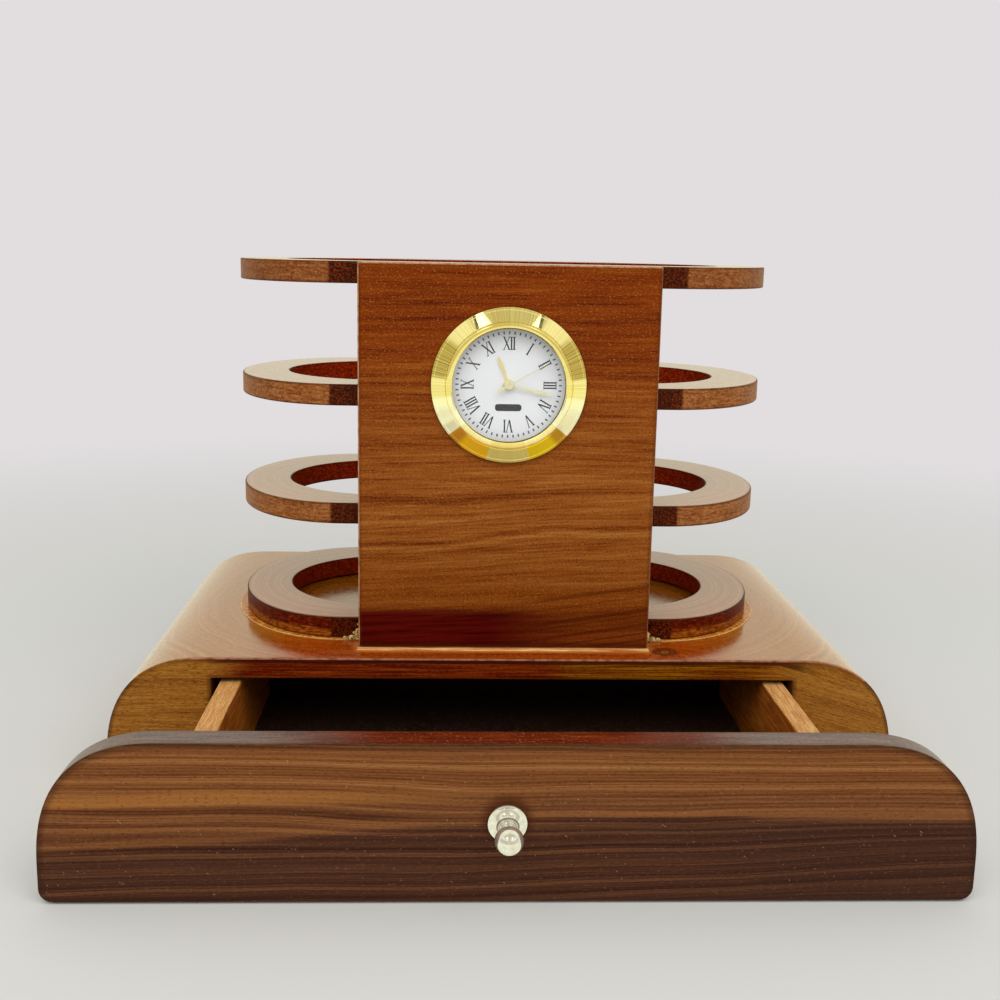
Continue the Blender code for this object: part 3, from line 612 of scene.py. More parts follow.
def bezel_profile():
    """Skirt, broad cone, crest, fine groove and rounded inner lip, closed round the lens seat."""
    skirt = (19.15, 0.3)
    outside = [(19.75, 0.3), (19.75, 0.85), (19.71, 0.97), (19.62, 1.06)]
    crest = [(16.36, 2.77), (16.3, 2.8), (16.24, 2.8), (16.2, 2.76)]
    groove = [(16.16, 2.58), (16.12, 2.54), (16.08, 2.58)]
    lip = [(16.04, 2.72), (15.94, 2.84), (15.7, 2.96), (15.3, 3.05), (14.9, 3.05), (14.6, 2.96)]
    seat = [(14.44, 2.8), (14.4, 2.62), (14.4, 2.45), (15.4, 2.45), (15.4, 1.4), (19.15, 1.4)]
    return in_mm([skirt] + outside + crest + groove + lip + seat + [skirt])


def knob_profile():
    """Flange, coved neck and egg-shaped ball, hollow for its screw, from the tip to the bore."""
    ball = arc((0.0, 8.5), (3.1, 3.2), 90, -52, 22)
    cove = arc((4.0, 3.0), (2.09, 2.1), 180, 270, 9)
    rim = [(4.18, 0.88), (4.27, 0.84), (4.3, 0.76), (4.3, 0.34), (4.26, 0.3)]
    bore = [(1.3, 0.3), (1.3, 5.9), (0.0, 5.9)]
    return in_mm(ball + cove + rim + bore)


def lens_profile():
    rim = arc((14.95, 2.05), (0.15, 0.15), 90, 0, 4) + arc((14.95, 1.55), (0.15, 0.15), 0, -90, 4)
    return in_mm([(0.0, 2.2)] + rim + [(0.0, 1.4)])


def housing_profile():
    """The cup with its front flange and the lip round the dial."""
    flange = [(18.85, 0.3), (18.85, 1.0), (18.75, 1.1), (14.4, 1.1), (14.4, 0.5), (16.1, 0.5)]
    inside = [(16.1, -6.2), (0.0, -6.2)]
    outside = [(0.0, -7.2), (16.6, -7.2), (16.82, -7.12), (16.9, -6.9), (16.9, 0.3), (18.85, 0.3)]
    return in_mm(flange + inside + outside)


def gasket_profile():
    """A ribbed rubber sleeve: three round ribs between shallow valleys."""
    length = 5.2
    top = -0.85
    steps = 36
    outside = []
    for step in range(steps + 1):
        share = step / steps
        swell = 0.5 - 0.5 * math.cos(2 * math.pi * 3 * share)
        outside.append((17.55 + 0.2 * swell, top - length * share))
    inside = [(17.2, top - length), (17.2, top), outside[0]]
    return in_mm(outside + inside)


def dial_profile():
    return in_mm([(1.3, -0.8), (15.8, -0.8), (15.8, -1.2), (1.3, -1.2), (1.3, -0.8)])


def clock_pieces(gold, lens, plastic, rubber, paint):
    """The turned pieces of the clock insert, nested about its axis."""
    centre = clock_centre()
    shapes = {
        "clock_bezel": (bezel_profile(), gold),
        "clock_lens": (lens_profile(), lens),
        "clock_housing": (housing_profile(), plastic),
        "clock_gasket": (gasket_profile(), rubber),
        "clock_dial": (dial_profile(), paint),
    }
    for node, (profile, finish) in shapes.items():
        piece = turned(node + "_finished", profile, centre, TURNED_STEPS)
        if node == "clock_housing":
            open_housing(piece, centre)
        shade(piece)
        dress(piece, node, finish)


def open_housing(piece, centre):
    """Cuts the battery hatch and the setting knob's hole through the housing's back wall."""
    cover_low, cover_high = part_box("battery_cover")
    hatch = (cover_high.x - cover_low.x) / 2 + HATCH_GAP
    for node, radius in (("battery_cover", hatch), ("set_knob", STEM_HOLE)):
        axis = middle_of(node)
        start = Vector((axis.x, centre.y + BACK_WALL[0], axis.z))
        end = Vector((axis.x, centre.y + BACK_WALL[1], axis.z))
        carve(piece, rod(node + "_cutter", radius, start, end, SMALL_STEPS))


def bar(across, up, width, height, lean=0.0):
    """One printed stroke in a numeral's own frame: its middle, its size and its lean."""
    return (across, up, width, height, lean)


def stem(across):
    half = NUMERAL_HEIGHT / 2
    foot = half - SERIF_HEIGHT / 2
    return [
        bar(across, 0.0, STEM_WIDTH, NUMERAL_HEIGHT - 2 * SERIF_HEIGHT),
        bar(across, foot, SERIF_WIDTH, SERIF_HEIGHT),
        bar(across, -foot, SERIF_WIDTH, SERIF_HEIGHT),
    ]


def slant(start, end, width):
    """A stroke between two heights that leans from start to end."""
    height = NUMERAL_HEIGHT - SERIF_HEIGHT
    lean = math.atan2(end - start, height)
    return bar((start + end) / 2, 0.0, width, height / math.cos(lean), lean)


def letter_v(across):
    half = LETTER_SPREAD / 2
    foot = NUMERAL_HEIGHT / 2 - SERIF_HEIGHT / 2
    return [
        slant(across, across - half, STEM_WIDTH),
        slant(across, across + half, HAIR_WIDTH),
        bar(across - half, foot, SERIF_WIDTH, SERIF_HEIGHT),
        bar(across + half, foot, SERIF_WIDTH * 0.8, SERIF_HEIGHT),
    ]


def letter_x(across):
    half = LETTER_SPREAD / 2
    foot = NUMERAL_HEIGHT / 2 - SERIF_HEIGHT / 2
    strokes = [
        slant(across + half, across - half, STEM_WIDTH),
        slant(across - half, across + half, HAIR_WIDTH),
    ]
    for side in (-1, 1):
        for end in (-1, 1):
            strokes.append(bar(across + side * half, end * foot, SERIF_WIDTH * 0.85, SERIF_HEIGHT))
    return strokes


LETTERS = {
    "I": (stem, STEM_PITCH),
    "V": (letter_v, LETTER_SPREAD + LETTER_GAP),
    "X": (letter_x, LETTER_SPREAD + LETTER_GAP),
}
NUMERALS = ("XII", "I", "II", "III", "IV", "V", "VI", "VII", "VIII", "IX", "X", "XI")


def numeral(letters):
    """The strokes of a Roman numeral, centred on its own middle."""
    width = sum(LETTERS[letter][1] for letter in letters)
    across = -width / 2
    strokes = []
    for letter in letters:
        draw, pitch = LETTERS[letter]
        strokes += draw(across + pitch / 2)
        across += pitch
    return strokes


def print_strokes(name, strokes, centre):
    """Thin raised strokes on the dial: each gives a turn, a radius and a stroke drawn there."""
    made = []
    for turn, radius, (across, up, width, height, lean) in strokes:
        outward = Vector((math.sin(turn), 0.0, math.cos(turn)))
        sideways = Vector((math.cos(turn), 0.0, -math.sin(turn)))
        place = centre + outward * (radius + up) + sideways * across
        bpy.ops.mesh.primitive_cube_add(size=1.0, location=place, rotation=(0.0, turn + lean, 0.0))
        drawn = bpy.context.active_object
        drawn.scale = (width, PRINT_HEIGHT, height)
        made.append(drawn)
    return join(made, name)


def dial_printing(ink, mark_ink, pill_ink):
    """Minute marks, Roman numerals and a bare dark plate, printed on the dial."""
    centre = clock_centre()
    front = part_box("clock_dial")[0].y
    on_dial = Vector((centre.x, front - PRINT_HEIGHT / 2, centre.z))
    marks = []
    for minute in range(60):
        turn = 2 * math.pi * minute / 60
        marks.append((turn, MINUTE_MARK_MIDDLE, bar(0.0, 0.0, *MINUTE_MARK)))
    track = print_strokes("dial_minute_marks", marks, on_dial)
    dress(track, "clock_dial", mark_ink, stands=False)

    strokes = []
    for hour, letters in enumerate(NUMERALS):
        turn = 2 * math.pi * hour / len(NUMERALS)
        strokes += [(turn, NUMERAL_MIDDLE, stroke) for stroke in numeral(letters)]
    numbers = print_strokes("dial_numerals", strokes, on_dial)
    dress(numbers, "clock_dial", ink, stands=False)

    low = on_dial + Vector((-PILL_SIZE[0] / 2, -PRINT_HEIGHT / 2, -PILL_DROP - PILL_SIZE[1] / 2))
    high = on_dial + Vector((PILL_SIZE[0] / 2, PRINT_HEIGHT / 2, -PILL_DROP + PILL_SIZE[1] / 2))
    pill = block("dial_plate", low, high)
    edit(pill)
    pick(pill, "EDGE", lambda edge: abs(edge.verts[0].co.y - edge.verts[1].co.y) > PRINT_HEIGHT / 2)
    bpy.ops.mesh.bevel(offset=PILL_SIZE[1] * 0.42, segments=8)
    leave_edit()
    shade(pill)
    dress(pill, "clock_dial", pill_ink, stands=False)


def plate(name, outline, front, back):
    """A flat plate drawn point by point as (across, up), from its front face to its back face in Y."""
    steps = [(there[0] - here[0], 0.0, there[1] - here[1]) for here, there in zip(outline, outline[1:])]
    piece = trace(name, (outline[0][0], back, outline[0][1]), steps)
    bpy.ops.mesh.edge_face_add()
    thicken((0.0, front - back, 0.0))
    return piece


def lance(length, width, root, start):
    """Half of a blade that widens towards its last third and then runs to a point."""
    widest = length * HAND_WIDEST_SHARE
    return [(root / 2, start), (width / 2, widest), (width * 0.42, widest + length * 0.1), (0.0, length)]


def hand_piece(node, turn, outline, hub, arbor, gold):
    """A clock hand: a chamfered blade on a turned hub, whose arbor runs back into the movement.

    arbor gives the arbor's outer and inner radius; the outline starts at the blade's right root.
    """
    centre = clock_centre()
    low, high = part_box(node)
    front = centre.y - low.y
    end = centre.y - high.y
    back = front - HUB_THICKNESS
    blade_front = low.y + (HUB_THICKNESS - BLADE_THICKNESS) / 2
    points = [(centre.x + across, centre.z + up) for across, up in outline]
    blade = plate(node + "_blade", points, blade_front, blade_front + BLADE_THICKNESS)
    edit(blade)
    pick(blade, "FACE", lambda face: face.normal.y < -0.9)
    bpy.ops.mesh.inset(thickness=BLADE_CHAMFER, depth=0.0)
    bpy.ops.transform.translate(value=(0.0, -BLADE_RISE, 0.0))
    select_whole()
    bpy.ops.transform.rotate(value=-turn, orient_axis="Y", center_override=centre)
    leave_edit()

    outer, inner = arbor
    dome = arc((hub - HUB_DOME, front - HUB_DOME), (HUB_DOME, HUB_DOME), 90, 0, 5)
    shoulder = [(hub, back), (outer, back), (outer, end)]
    if inner:
        profile = [(inner, front)] + dome + shoulder + [(inner, end), (inner, front)]
    else:
        pin = [(0.0, front), (PIN_RADIUS * 0.7, front), (PIN_RADIUS, front - PIN_GROOVE / 2)]
        sunk = front - PIN_GROOVE
        groove = [(PIN_RADIUS, sunk), (PIN_RADIUS * 1.5, sunk), (PIN_RADIUS * 1.6, front)]
        profile = pin + groove + dome + shoulder + [(0.0, end)]
    boss = turned(node + "_hub", profile, centre, SMALL_STEPS)
    piece = join([boss, blade], node + "_finished")
    shade(piece)
    dress(piece, node, gold)


def hand_pieces(gold, paler):
    hour = lance(length=8.1 * MM, width=0.84 * MM, root=0.46 * MM, start=1.1 * MM)
    minute = lance(length=11.9 * MM, width=0.85 * MM, root=0.36 * MM, start=0.9 * MM)
    second = [(0.12 * MM, 0.6 * MM), (0.09 * MM, 11.0 * MM), (0.0, 11.8 * MM)]
    tail = [(-0.14 * MM, -0.8 * MM), (-0.55 * MM, -3.2 * MM), (0.55 * MM, -3.2 * MM), (0.14 * MM, -0.8 * MM)]
    hour += mirror_of(hour)
    minute += mirror_of(minute)
    second += mirror_of(second) + tail
    hand_piece("hour_hand", HOUR_TURN, hour, 1.4 * MM, (1.25 * MM, 1.0 * MM), gold)
    hand_piece("minute_hand", MINUTE_TURN, minute, 1.2 * MM, (0.75 * MM, 0.5 * MM), paler)
    hand_piece("second_hand", SECOND_TURN, second, 1.05 * MM, (0.25 * MM, 0.0), paler)


def mirror_of(points):
    """The left half of a blade, from its tip back to its root."""
    return [(-across, up) for across, up in reversed(points[:-1])]


class Finish:
    """A material being mixed. Each method adds a node and gives its output back."""

    def __init__(self, name):
        self.material = bpy.data.materials.new(name)
        self.material.use_nodes = True
        self.nodes = self.material.node_tree.nodes
        self.links = self.material.node_tree.links
        self.shader = self.nodes["Principled BSDF"]

    def feed(self, socket, value):
        if isinstance(value, bpy.types.NodeSocket):
            self.links.new(value, socket)
        else:
            socket.default_value = value

    def add(self, kind, **settings):
        node = self.nodes.new(kind)
        for name, value in settings.items():
            setattr(node, name, value)
        return node

    def set(self, **inputs):
        """Sets or links the shader's sockets; an underscore in a name stands for a space."""
        for name, value in inputs.items():
            self.feed(self.shader.inputs[name.replace("_", " ")], value)

    def place(self, centre=(0.0, 0.0, 0.0), turn=(0.0, 0.0, 0.0)):
        """The point on the object in millimetres from a centre, turned so that grain runs along X."""
        where = self.add("ShaderNodeTexCoord")
        mapping = self.add("ShaderNodeMapping", vector_type="TEXTURE")
        mapping.inputs["Location"].default_value = centre
        mapping.inputs["Rotation"].default_value = turn
        mapping.inputs["Scale"].default_value = (MM, MM, MM)
        self.links.new(where.outputs["Object"], mapping.inputs["Vector"])
        return mapping.outputs["Vector"]

    def math(self, operation, *values):
        node = self.add("ShaderNodeMath", operation=operation)
        for socket, value in zip(node.inputs, values):
            self.feed(socket, value)
        return node.outputs[0]

    def plus(self, first, second):
        return self.math("ADD", first, second)

    def less(self, first, second):
        return self.math("SUBTRACT", first, second)

    def times(self, first, second):
        return self.math("MULTIPLY", first, second)

    def times_plus(self, first, second, added):
        return self.math("MULTIPLY_ADD", first, second, added)

    def larger(self, first, second):
        return self.math("MAXIMUM", first, second)

    def unsigned(self, value):
        return self.math("ABSOLUTE", value)

    def vector(self, operation, *values):
        node = self.add("ShaderNodeVectorMath", operation=operation)
        for socket, value in zip(node.inputs, values):
            self.feed(socket, value)
        return node.outputs["Value" if operation == "LENGTH" else "Vector"]

    def length(self, vector):
        return self.vector("LENGTH", vector)

    def split(self, vector):
        node = self.add("ShaderNodeSeparateXYZ")
        self.links.new(vector, node.inputs[0])
        return node.outputs[0], node.outputs[1], node.outputs[2]

    def join(self, x, y, z):
        node = self.add("ShaderNodeCombineXYZ")
        for socket, value in zip(node.inputs, (x, y, z)):
            self.feed(socket, value)
        return node.outputs[0]

    def noise(self, vector, stretch, detail, roughness=0.55):
        """Noise whose features are 1 / stretch millimetres long along each axis."""
        node = self.add("ShaderNodeTexNoise")
        self.links.new(self.vector("MULTIPLY", vector, stretch), node.inputs["Vector"])
        node.inputs["Scale"].default_value = 1.0
        node.inputs["Detail"].default_value = detail
        node.inputs["Roughness"].default_value = roughness
        return node.outputs["Fac"]

    def line_noise(self, value, scale, detail=4.0):
        """Noise along one measure, as bands."""
        node = self.add("ShaderNodeTexNoise", noise_dimensions="1D")
        self.links.new(value, node.inputs["W"])
        node.inputs["Scale"].default_value = scale
        node.inputs["Detail"].default_value = detail
        node.inputs["Roughness"].default_value = 0.6
        return node.outputs["Fac"]

    def level(self, value, low, high, to_low=0.0, to_high=1.0):
        """Moves a range smoothly to another, and holds it there."""
        node = self.add("ShaderNodeMapRange", interpolation_type="SMOOTHSTEP")
        for socket, number in zip(node.inputs, (value, low, high, to_low, to_high)):
            self.feed(socket, number)
        return node.outputs[0]

    def ramp(self, value, *stops):
        node = self.add("ShaderNodeValToRGB")
        self.links.new(value, node.inputs[0])
        marks = node.color_ramp.elements
        marks.remove(marks[1])
        marks[0].position = stops[0][0]
        marks[0].color = stops[0][1]
        for position, colour in stops[1:]:
            mark = marks.new(position)
            mark.color = colour
        return node.outputs["Color"]

    def shades(self, value, *stops):
        """A ramp whose stops give a position and then red, green and blue as a screen shows them."""
        return self.ramp(value, *[(position, tone(*colour)) for position, *colour in stops])

    def blend(self, factor, first, second):
        node = self.add("ShaderNodeMix", data_type="RGBA")
        self.feed(node.inputs[0], factor)
        self.feed(node.inputs[6], first)
        self.feed(node.inputs[7], second)
        return node.outputs[2]

    def attribute(self, name):
        return self.add("ShaderNodeAttribute", attribute_name=name).outputs["Fac"]

    def bump(self, height, strength, distance):
        node = self.add("ShaderNodeBump")
        node.inputs["Strength"].default_value = strength
        node.inputs["Distance"].default_value = distance
        self.links.new(height, node.inputs["Height"])
        self.links.new(node.outputs["Normal"], self.shader.inputs["Normal"])


def tone(red, green, blue):
    """A colour as a screen shows it, 0 to 255 each, made linear for a shader."""
    shares = [part / 255 for part in (red, green, blue)]
    linear = [s / 12.92 if s <= 0.04045 else ((s + 0.055) / 1.055) ** 2.4 for s in shares]
    return (*linear, 1.0)


def growth(mix, point, pith, wander):
    """The distance in millimetres from the tree's middle, a line along X, with the wander of real grain."""
    sway = mix.times(mix.noise(point, (0.009, 0.03, 0.03), detail=2.0), wander)
    _, y, z = mix.split(point)
    across = mix.join(0.0, mix.less(y, pith[0]), mix.less(z, pith[1]))
    return mix.plus(mix.length(across), sway)


def grain(mix, point, distance, pitch, share=0.5, fibre=(0.09, 2.0, 2.6)):
    """Growth lines blended with fine fibres that run along X, 0 dark to 1 light."""
    lines = mix.line_noise(distance, 1 / pitch)
    fibres = mix.noise(point, fibre, detail=6.0, roughness=0.7)
    lines = mix.times(lines, share)
    return mix.times_plus(fibres, 1 - share, lines), fibres


def pepper(mix, point, colour, size, dark, light):
    """Small pores and flecks; dark and light each give a strength and a tone."""
    specks = mix.noise(point, size, detail=2.5)
    colour = mix.blend(mix.level(specks, 0.44, 0.34, 0.0, dark[0]), colour, dark[1])
    return mix.blend(mix.level(specks, 0.58, 0.68, 0.0, light[0]), colour, light[1])


def nicks(mix, tilt, length, width, above):
    """Small slanting marks in the lacquer: 1 in a mark and 0 between marks."""
    turned_point = mix.place(turn=(0.0, tilt, 0.0))
    spots = mix.noise(turned_point, (1 / length, 1 / width, 1 / width), detail=1.0)
    return mix.level(spots, above, above + 0.05)


def edge_wear_and_highlight(mix, colour, dark, light):
    """A darker stain that gathers near the edges, and a line on the edge itself: dark wear where the caller
    gives a dark tone, a painted highlight where it gives a pale one.
    """
    rim = mix.attribute("rim")
    rubbed = mix.noise(mix.place(), (0.35, 0.35, 0.35), detail=4.0)
    colour = mix.blend(mix.level(rim, 0.1, 0.8, 0.0, dark[0]), colour, dark[1])
    line = mix.times(mix.level(rim, 0.9, 1.0), mix.level(rubbed, 0.35, 0.6, 0.35, 1.0))
    return mix.blend(mix.times(line, light[0]), colour, light[1])


def lacquer(mix, colour, fibres, gloss, index, depth=0.05):
    """Satin lacquer over the coloured wood: its gloss and surface follow the fibres."""
    mix.set(Base_Color=colour, Roughness=mix.level(fibres, 0.3, 0.7, *gloss), IOR=index)
    mix.bump(fibres, 0.35, depth * MM)
    return mix.material


def panel_wood():
    """Orange brown, with fine lines that lean up to the right lower down, and a dark foot; painted shade
    makes the top and the lower part darker and redder, and painted highlights run along the left and top
    arrises.
    """
    mix = Finish("orange_brown_panel_wood")
    x, y, z = mix.split(mix.place())
    lean = mix.times(mix.level(z, 105.0, 65.0, 0.0, 0.055), x)
    point = mix.join(x, y, mix.less(z, lean))
    distance = growth(mix, point, (60.0, -170.0), 13.0)
    streaks, fibres = grain(mix, point, distance, 2.1, share=0.42, fibre=(0.07, 1.4, 1.9))
    clouds = mix.noise(point, (0.022, 0.1, 0.16), detail=4.0)
    streaks = mix.times_plus(mix.less(clouds, 0.5), 0.24, streaks)
    brown = ((0.36, 98, 40, 5), (0.46, 130, 66, 16), (0.55, 146, 82, 27), (0.66, 164, 104, 46))
    # painted shade: darker, redder tones that take over towards the top
    top_shade_tones = ((0.36, 80, 20, 0), (0.46, 112, 41, 0), (0.55, 123, 51, 1), (0.66, 142, 72, 8))
    top_shade = mix.level(z, 84.0, 122.0, 0.0, 0.95)
    colour = mix.blend(top_shade, mix.shades(streaks, *brown), mix.shades(streaks, *top_shade_tones))
    # painted shade: darker and redder lower down
    colour = mix.blend(mix.level(z, 66.0, 50.0, 0.0, 0.6), colour, tone(120, 54, 2))
    colour = pepper(mix, point, colour, (1.9, 3.2, 3.2), (0.55, tone(72, 22, 1)), (0.5, tone(182, 114, 46)))
    scratches = mix.times(nicks(mix, math.radians(36), 1.6, 0.25, 0.74), 0.55)
    colour = mix.blend(scratches, colour, tone(196, 136, 78))
    ragged = mix.times_plus(mix.noise(point, (0.05, 0.3, 0.5), detail=4.0), 4.0, -2.0)
    above = mix.plus(mix.less(z, 47.4), ragged)
    dark_foot = mix.shades(streaks, (0.4, 54, 1, 0), (0.6, 88, 10, 1))
    band_share = mix.times(mix.level(above, 2.6, -1.2), mix.level(x, -6.0, 26.0, 1.0, 0.45))
    colour = mix.blend(band_share, colour, dark_foot)
    rising = mix.less(z, mix.times(mix.larger(x, 0.0), 0.15))
    streak = mix.level(mix.line_noise(rising, 0.5, detail=2.0), 0.5, 0.6, 0.0, 0.6)
    low_right = mix.times(mix.level(x, -4.0, 14.0), mix.level(rising, 51.0, 48.0))
    colour = mix.blend(mix.times(streak, low_right), colour, tone(70, 18, 2))
    colour = mix.blend(mix.level(z, 39.8, 38.4, 0.0, 0.6), colour, tone(50, 8, 2))
    # painted highlight: a pale line along the left and top arrises only
    highlit_left_or_top = mix.larger(mix.level(x, -37.2, -37.8), mix.level(z, 136.4, 137.0))
    bright = mix.times(highlit_left_or_top, 0.4)
    colour = edge_wear_and_highlight(mix, colour, (0.35, tone(74, 28, 4)), (bright, tone(196, 150, 110)))
    return lacquer(mix, colour, fibres, (0.34, 0.5), 1.15)


def panel_edge_wood():
    """The panels' narrow sides, top and foot, with a painted highlight along the left and top arrises."""
    mix = Finish("panel_edge_wood")
    point = mix.place()
    distance = growth(mix, point, (60.0, -170.0), 8.0)
    streaks, fibres = grain(mix, point, distance, 1.6)
    colour = mix.shades(streaks, (0.36, 88, 34, 6), (0.5, 122, 60, 18), (0.64, 150, 92, 44))
    colour = pepper(mix, point, colour, (1.2, 1.6, 1.6), (0.5, tone(60, 22, 6)), (0.3, tone(184, 130, 80)))
    x, _, z = mix.split(point)
    # a faint line of wear on every arris, and a painted highlight on the left and top ones
    highlit_left_or_top = mix.larger(mix.level(x, -37.0, -37.8), mix.level(z, 136.4, 137.1))
    wear_and_highlight_line = mix.times_plus(highlit_left_or_top, 0.5, 0.1)
    colour = edge_wear_and_highlight(mix, colour, (0.3, tone(66, 24, 6)), (wear_and_highlight_line, tone(206, 160, 120)))
    return lacquer(mix, colour, fibres, (0.3, 0.44), 1.24)


def oval_growth(mix, point, wander):
    """Growth lines that run round the rings' oval, and back along the shoulders."""
    x, y, z = mix.split(point)
    along = mix.larger(mix.less(mix.unsigned(x), 43.0), 0.0)
    across = mix.times(y, 0.8)
    sway = mix.times(mix.noise(point, (0.025, 0.04, 0.04), detail=3.0), wander)
    distance = mix.plus(mix.length(mix.join(along, across, 0.0)), sway)
    return mix.less(distance, z)


def base_top_wood():
    """The loaf's glossy outside: orange before the column, tan on the shoulders, and one small knot."""
    mix = Finish("tan_base_top_wood")
    point = mix.place()
    x, y, _ = mix.split(point)
    from_knot = mix.join(mix.less(x, KNOT[0]), mix.less(y, KNOT[1]), 0.0)
    swirl = mix.times(mix.noise(point, (0.45, 0.45, 0.45), detail=3.0), 2.2)
    knot = mix.plus(mix.length(from_knot), mix.less(swirl, 1.1))
    distance = oval_growth(mix, point, 7.0)
    distance = mix.plus(distance, mix.level(knot, 12.0, 1.0, 0.0, 6.0))
    streaks, fibres = grain(mix, point, distance, 1.7, share=0.6, fibre=(0.8, 0.5, 0.8))
    tan = ((0.36, 134, 68, 2), (0.46, 151, 86, 4), (0.56, 160, 95, 8), (0.66, 175, 113, 22))
    orange = ((0.36, 124, 42, 0), (0.46, 148, 56, 1), (0.56, 158, 68, 4), (0.66, 178, 94, 14))
    cloud = mix.times_plus(mix.noise(point, (0.06, 0.06, 0.06), detail=3.0), 24.0, -12.0)
    outward = mix.plus(mix.unsigned(x), cloud)
    before_column = mix.times(mix.level(outward, 72.0, 50.0), mix.level(y, -28.0, -40.0))
    colour = mix.blend(before_column, mix.shades(streaks, *tan), mix.shades(streaks, *orange))
    beside_panel = mix.times(mix.level(y, -53.0, -49.6), mix.level(y, -43.0, -45.0))
    beside_panel = mix.times(beside_panel, mix.level(mix.unsigned(x), 41.0, 37.0))
    colour = mix.blend(mix.times(beside_panel, 0.75), colour, tone(214, 132, 56))
    colour = pepper(mix, point, colour, (1.8, 1.5, 1.5), (0.3, tone(106, 38, 2)), (0.3, tone(208, 146, 60)))
    heart = ((0.06, 60, 16, 2), (0.2, 170, 104, 40), (0.36, 58, 14, 2))
    round_heart = ((0.55, 120, 56, 10), (0.74, 64, 18, 2), (0.9, 104, 44, 6))
    rings = mix.shades(mix.times(knot, 1 / KNOT_SIZE), *heart, *round_heart)
    colour = mix.blend(mix.level(knot, KNOT_SIZE * 1.15, KNOT_SIZE * 0.75, 0.0, 0.9), colour, rings)
    colour = edge_wear_and_highlight(mix, colour, (0.3, tone(92, 36, 4)), (0.15, tone(206, 160, 110)))
    return lacquer(mix, colour, fibres, (0.13, 0.22), 1.72, depth=0.02)


def golden_brown(mix, point):
    """The base's streaked and peppered side wood, the same on its blocks and on the board's ends."""
    distance = growth(mix, point, (120.0, -60.0), 7.0)
    streaks, fibres = grain(mix, point, distance, 1.8, share=0.35)
    golden = ((0.36, 112, 62, 14), (0.47, 138, 86, 24), (0.56, 152, 100, 34), (0.66, 172, 122, 54))
    colour = mix.shades(streaks, *golden)
    colour = pepper(mix, point, colour, (0.8, 3.2, 3.2), (0.6, tone(78, 38, 6)), (0.3, tone(196, 150, 84)))
    return colour, fibres


def laid_point(mix):
    """A point of the base's front, where the right end's grain slants down."""
    x, y, z = mix.split(mix.place())
    beyond = mix.larger(mix.less(x, 72.0), 0.0)
    return mix.join(x, y, mix.times_plus(beyond, 0.3, z))


def base_side_wood():
    mix = Finish("golden_brown_side_wood")
    colour, fibres = golden_brown(mix, laid_point(mix))
    colour = edge_wear_and_highlight(mix, colour, (0.55, tone(70, 34, 8)), (0.5, tone(58, 30, 12)))
    return lacquer(mix, colour, fibres, (0.34, 0.5), 1.2)


def base_strip_wood():
    """The board's front edge: red brown on the left, olive on the right, golden at its ends, and a painted
    highlight along its top arris.
    """
    mix = Finish("red_and_olive_board_edge")
    point = laid_point(mix)
    ends, fibres = golden_brown(mix, point)
    x, _, z = mix.split(point)
    lines = mix.noise(point, (0.05, 1.0, 3.0), detail=5.0, roughness=0.65)
    red = mix.shades(lines, (0.36, 72, 13, 1), (0.5, 106, 30, 3), (0.64, 138, 58, 12))
    olive = mix.shades(lines, (0.36, 78, 28, 1), (0.5, 119, 59, 4), (0.64, 152, 98, 12))
    middle_part = mix.blend(mix.level(x, 8.0, 20.0), red, olive)
    specks = ((0.6, tone(44, 12, 2)), (0.25, tone(150, 90, 30)))
    middle_part = pepper(mix, point, middle_part, (0.9, 2.6, 2.6), *specks)
    wander = mix.times_plus(mix.noise(point, (0.1, 0.2, 0.4), detail=3.0), 14.0, -7.0)
    outward = mix.plus(mix.unsigned(x), wander)
    colour = mix.blend(mix.level(outward, 64.0, 80.0), middle_part, ends)
    top_line = mix.times(mix.level(z, 35.5, 36.1), mix.level(outward, 84.0, 72.0, 0.0, 0.75))
    colour = mix.blend(top_line, colour, tone(46, 8, 3))
    # painted highlight: a pale line along the top arris, in place of glare that the low gloss leaves out
    top_arris_highlight = mix.level(z, 36.5, 36.9, 0.0, 0.55)
    colour = edge_wear_and_highlight(mix, colour, (0.3, tone(52, 18, 4)), (top_arris_highlight, tone(204, 136, 106)))
    return lacquer(mix, colour, fibres, (0.34, 0.5), 1.14)


def ring_top_wood():
    """The rings' glossy flat faces, with faint lines that follow the outline."""
    mix = Finish("ring_top_wood")
    point = mix.place()
    inward = mix.attribute("inward")
    fibres = mix.noise(point, (0.3, 0.9, 1.2), detail=6.0, roughness=0.7)
    rounds = mix.line_noise(mix.times_plus(fibres, 0.12, inward), 10.0)
    colour = mix.shades(rounds, (0.36, 140, 82, 44), (0.5, 156, 94, 56), (0.64, 168, 108, 70))
    specks = ((0.16, tone(84, 42, 16)), (0.16, tone(200, 156, 106)))
    colour = pepper(mix, point, colour, (1.2, 1.2, 1.2), *specks)
    colour = edge_wear_and_highlight(mix, colour, (0.4, tone(104, 54, 22)), (0.6, tone(70, 34, 16)))
    return lacquer(mix, colour, fibres, (0.14, 0.2), 1.62, depth=0.006)


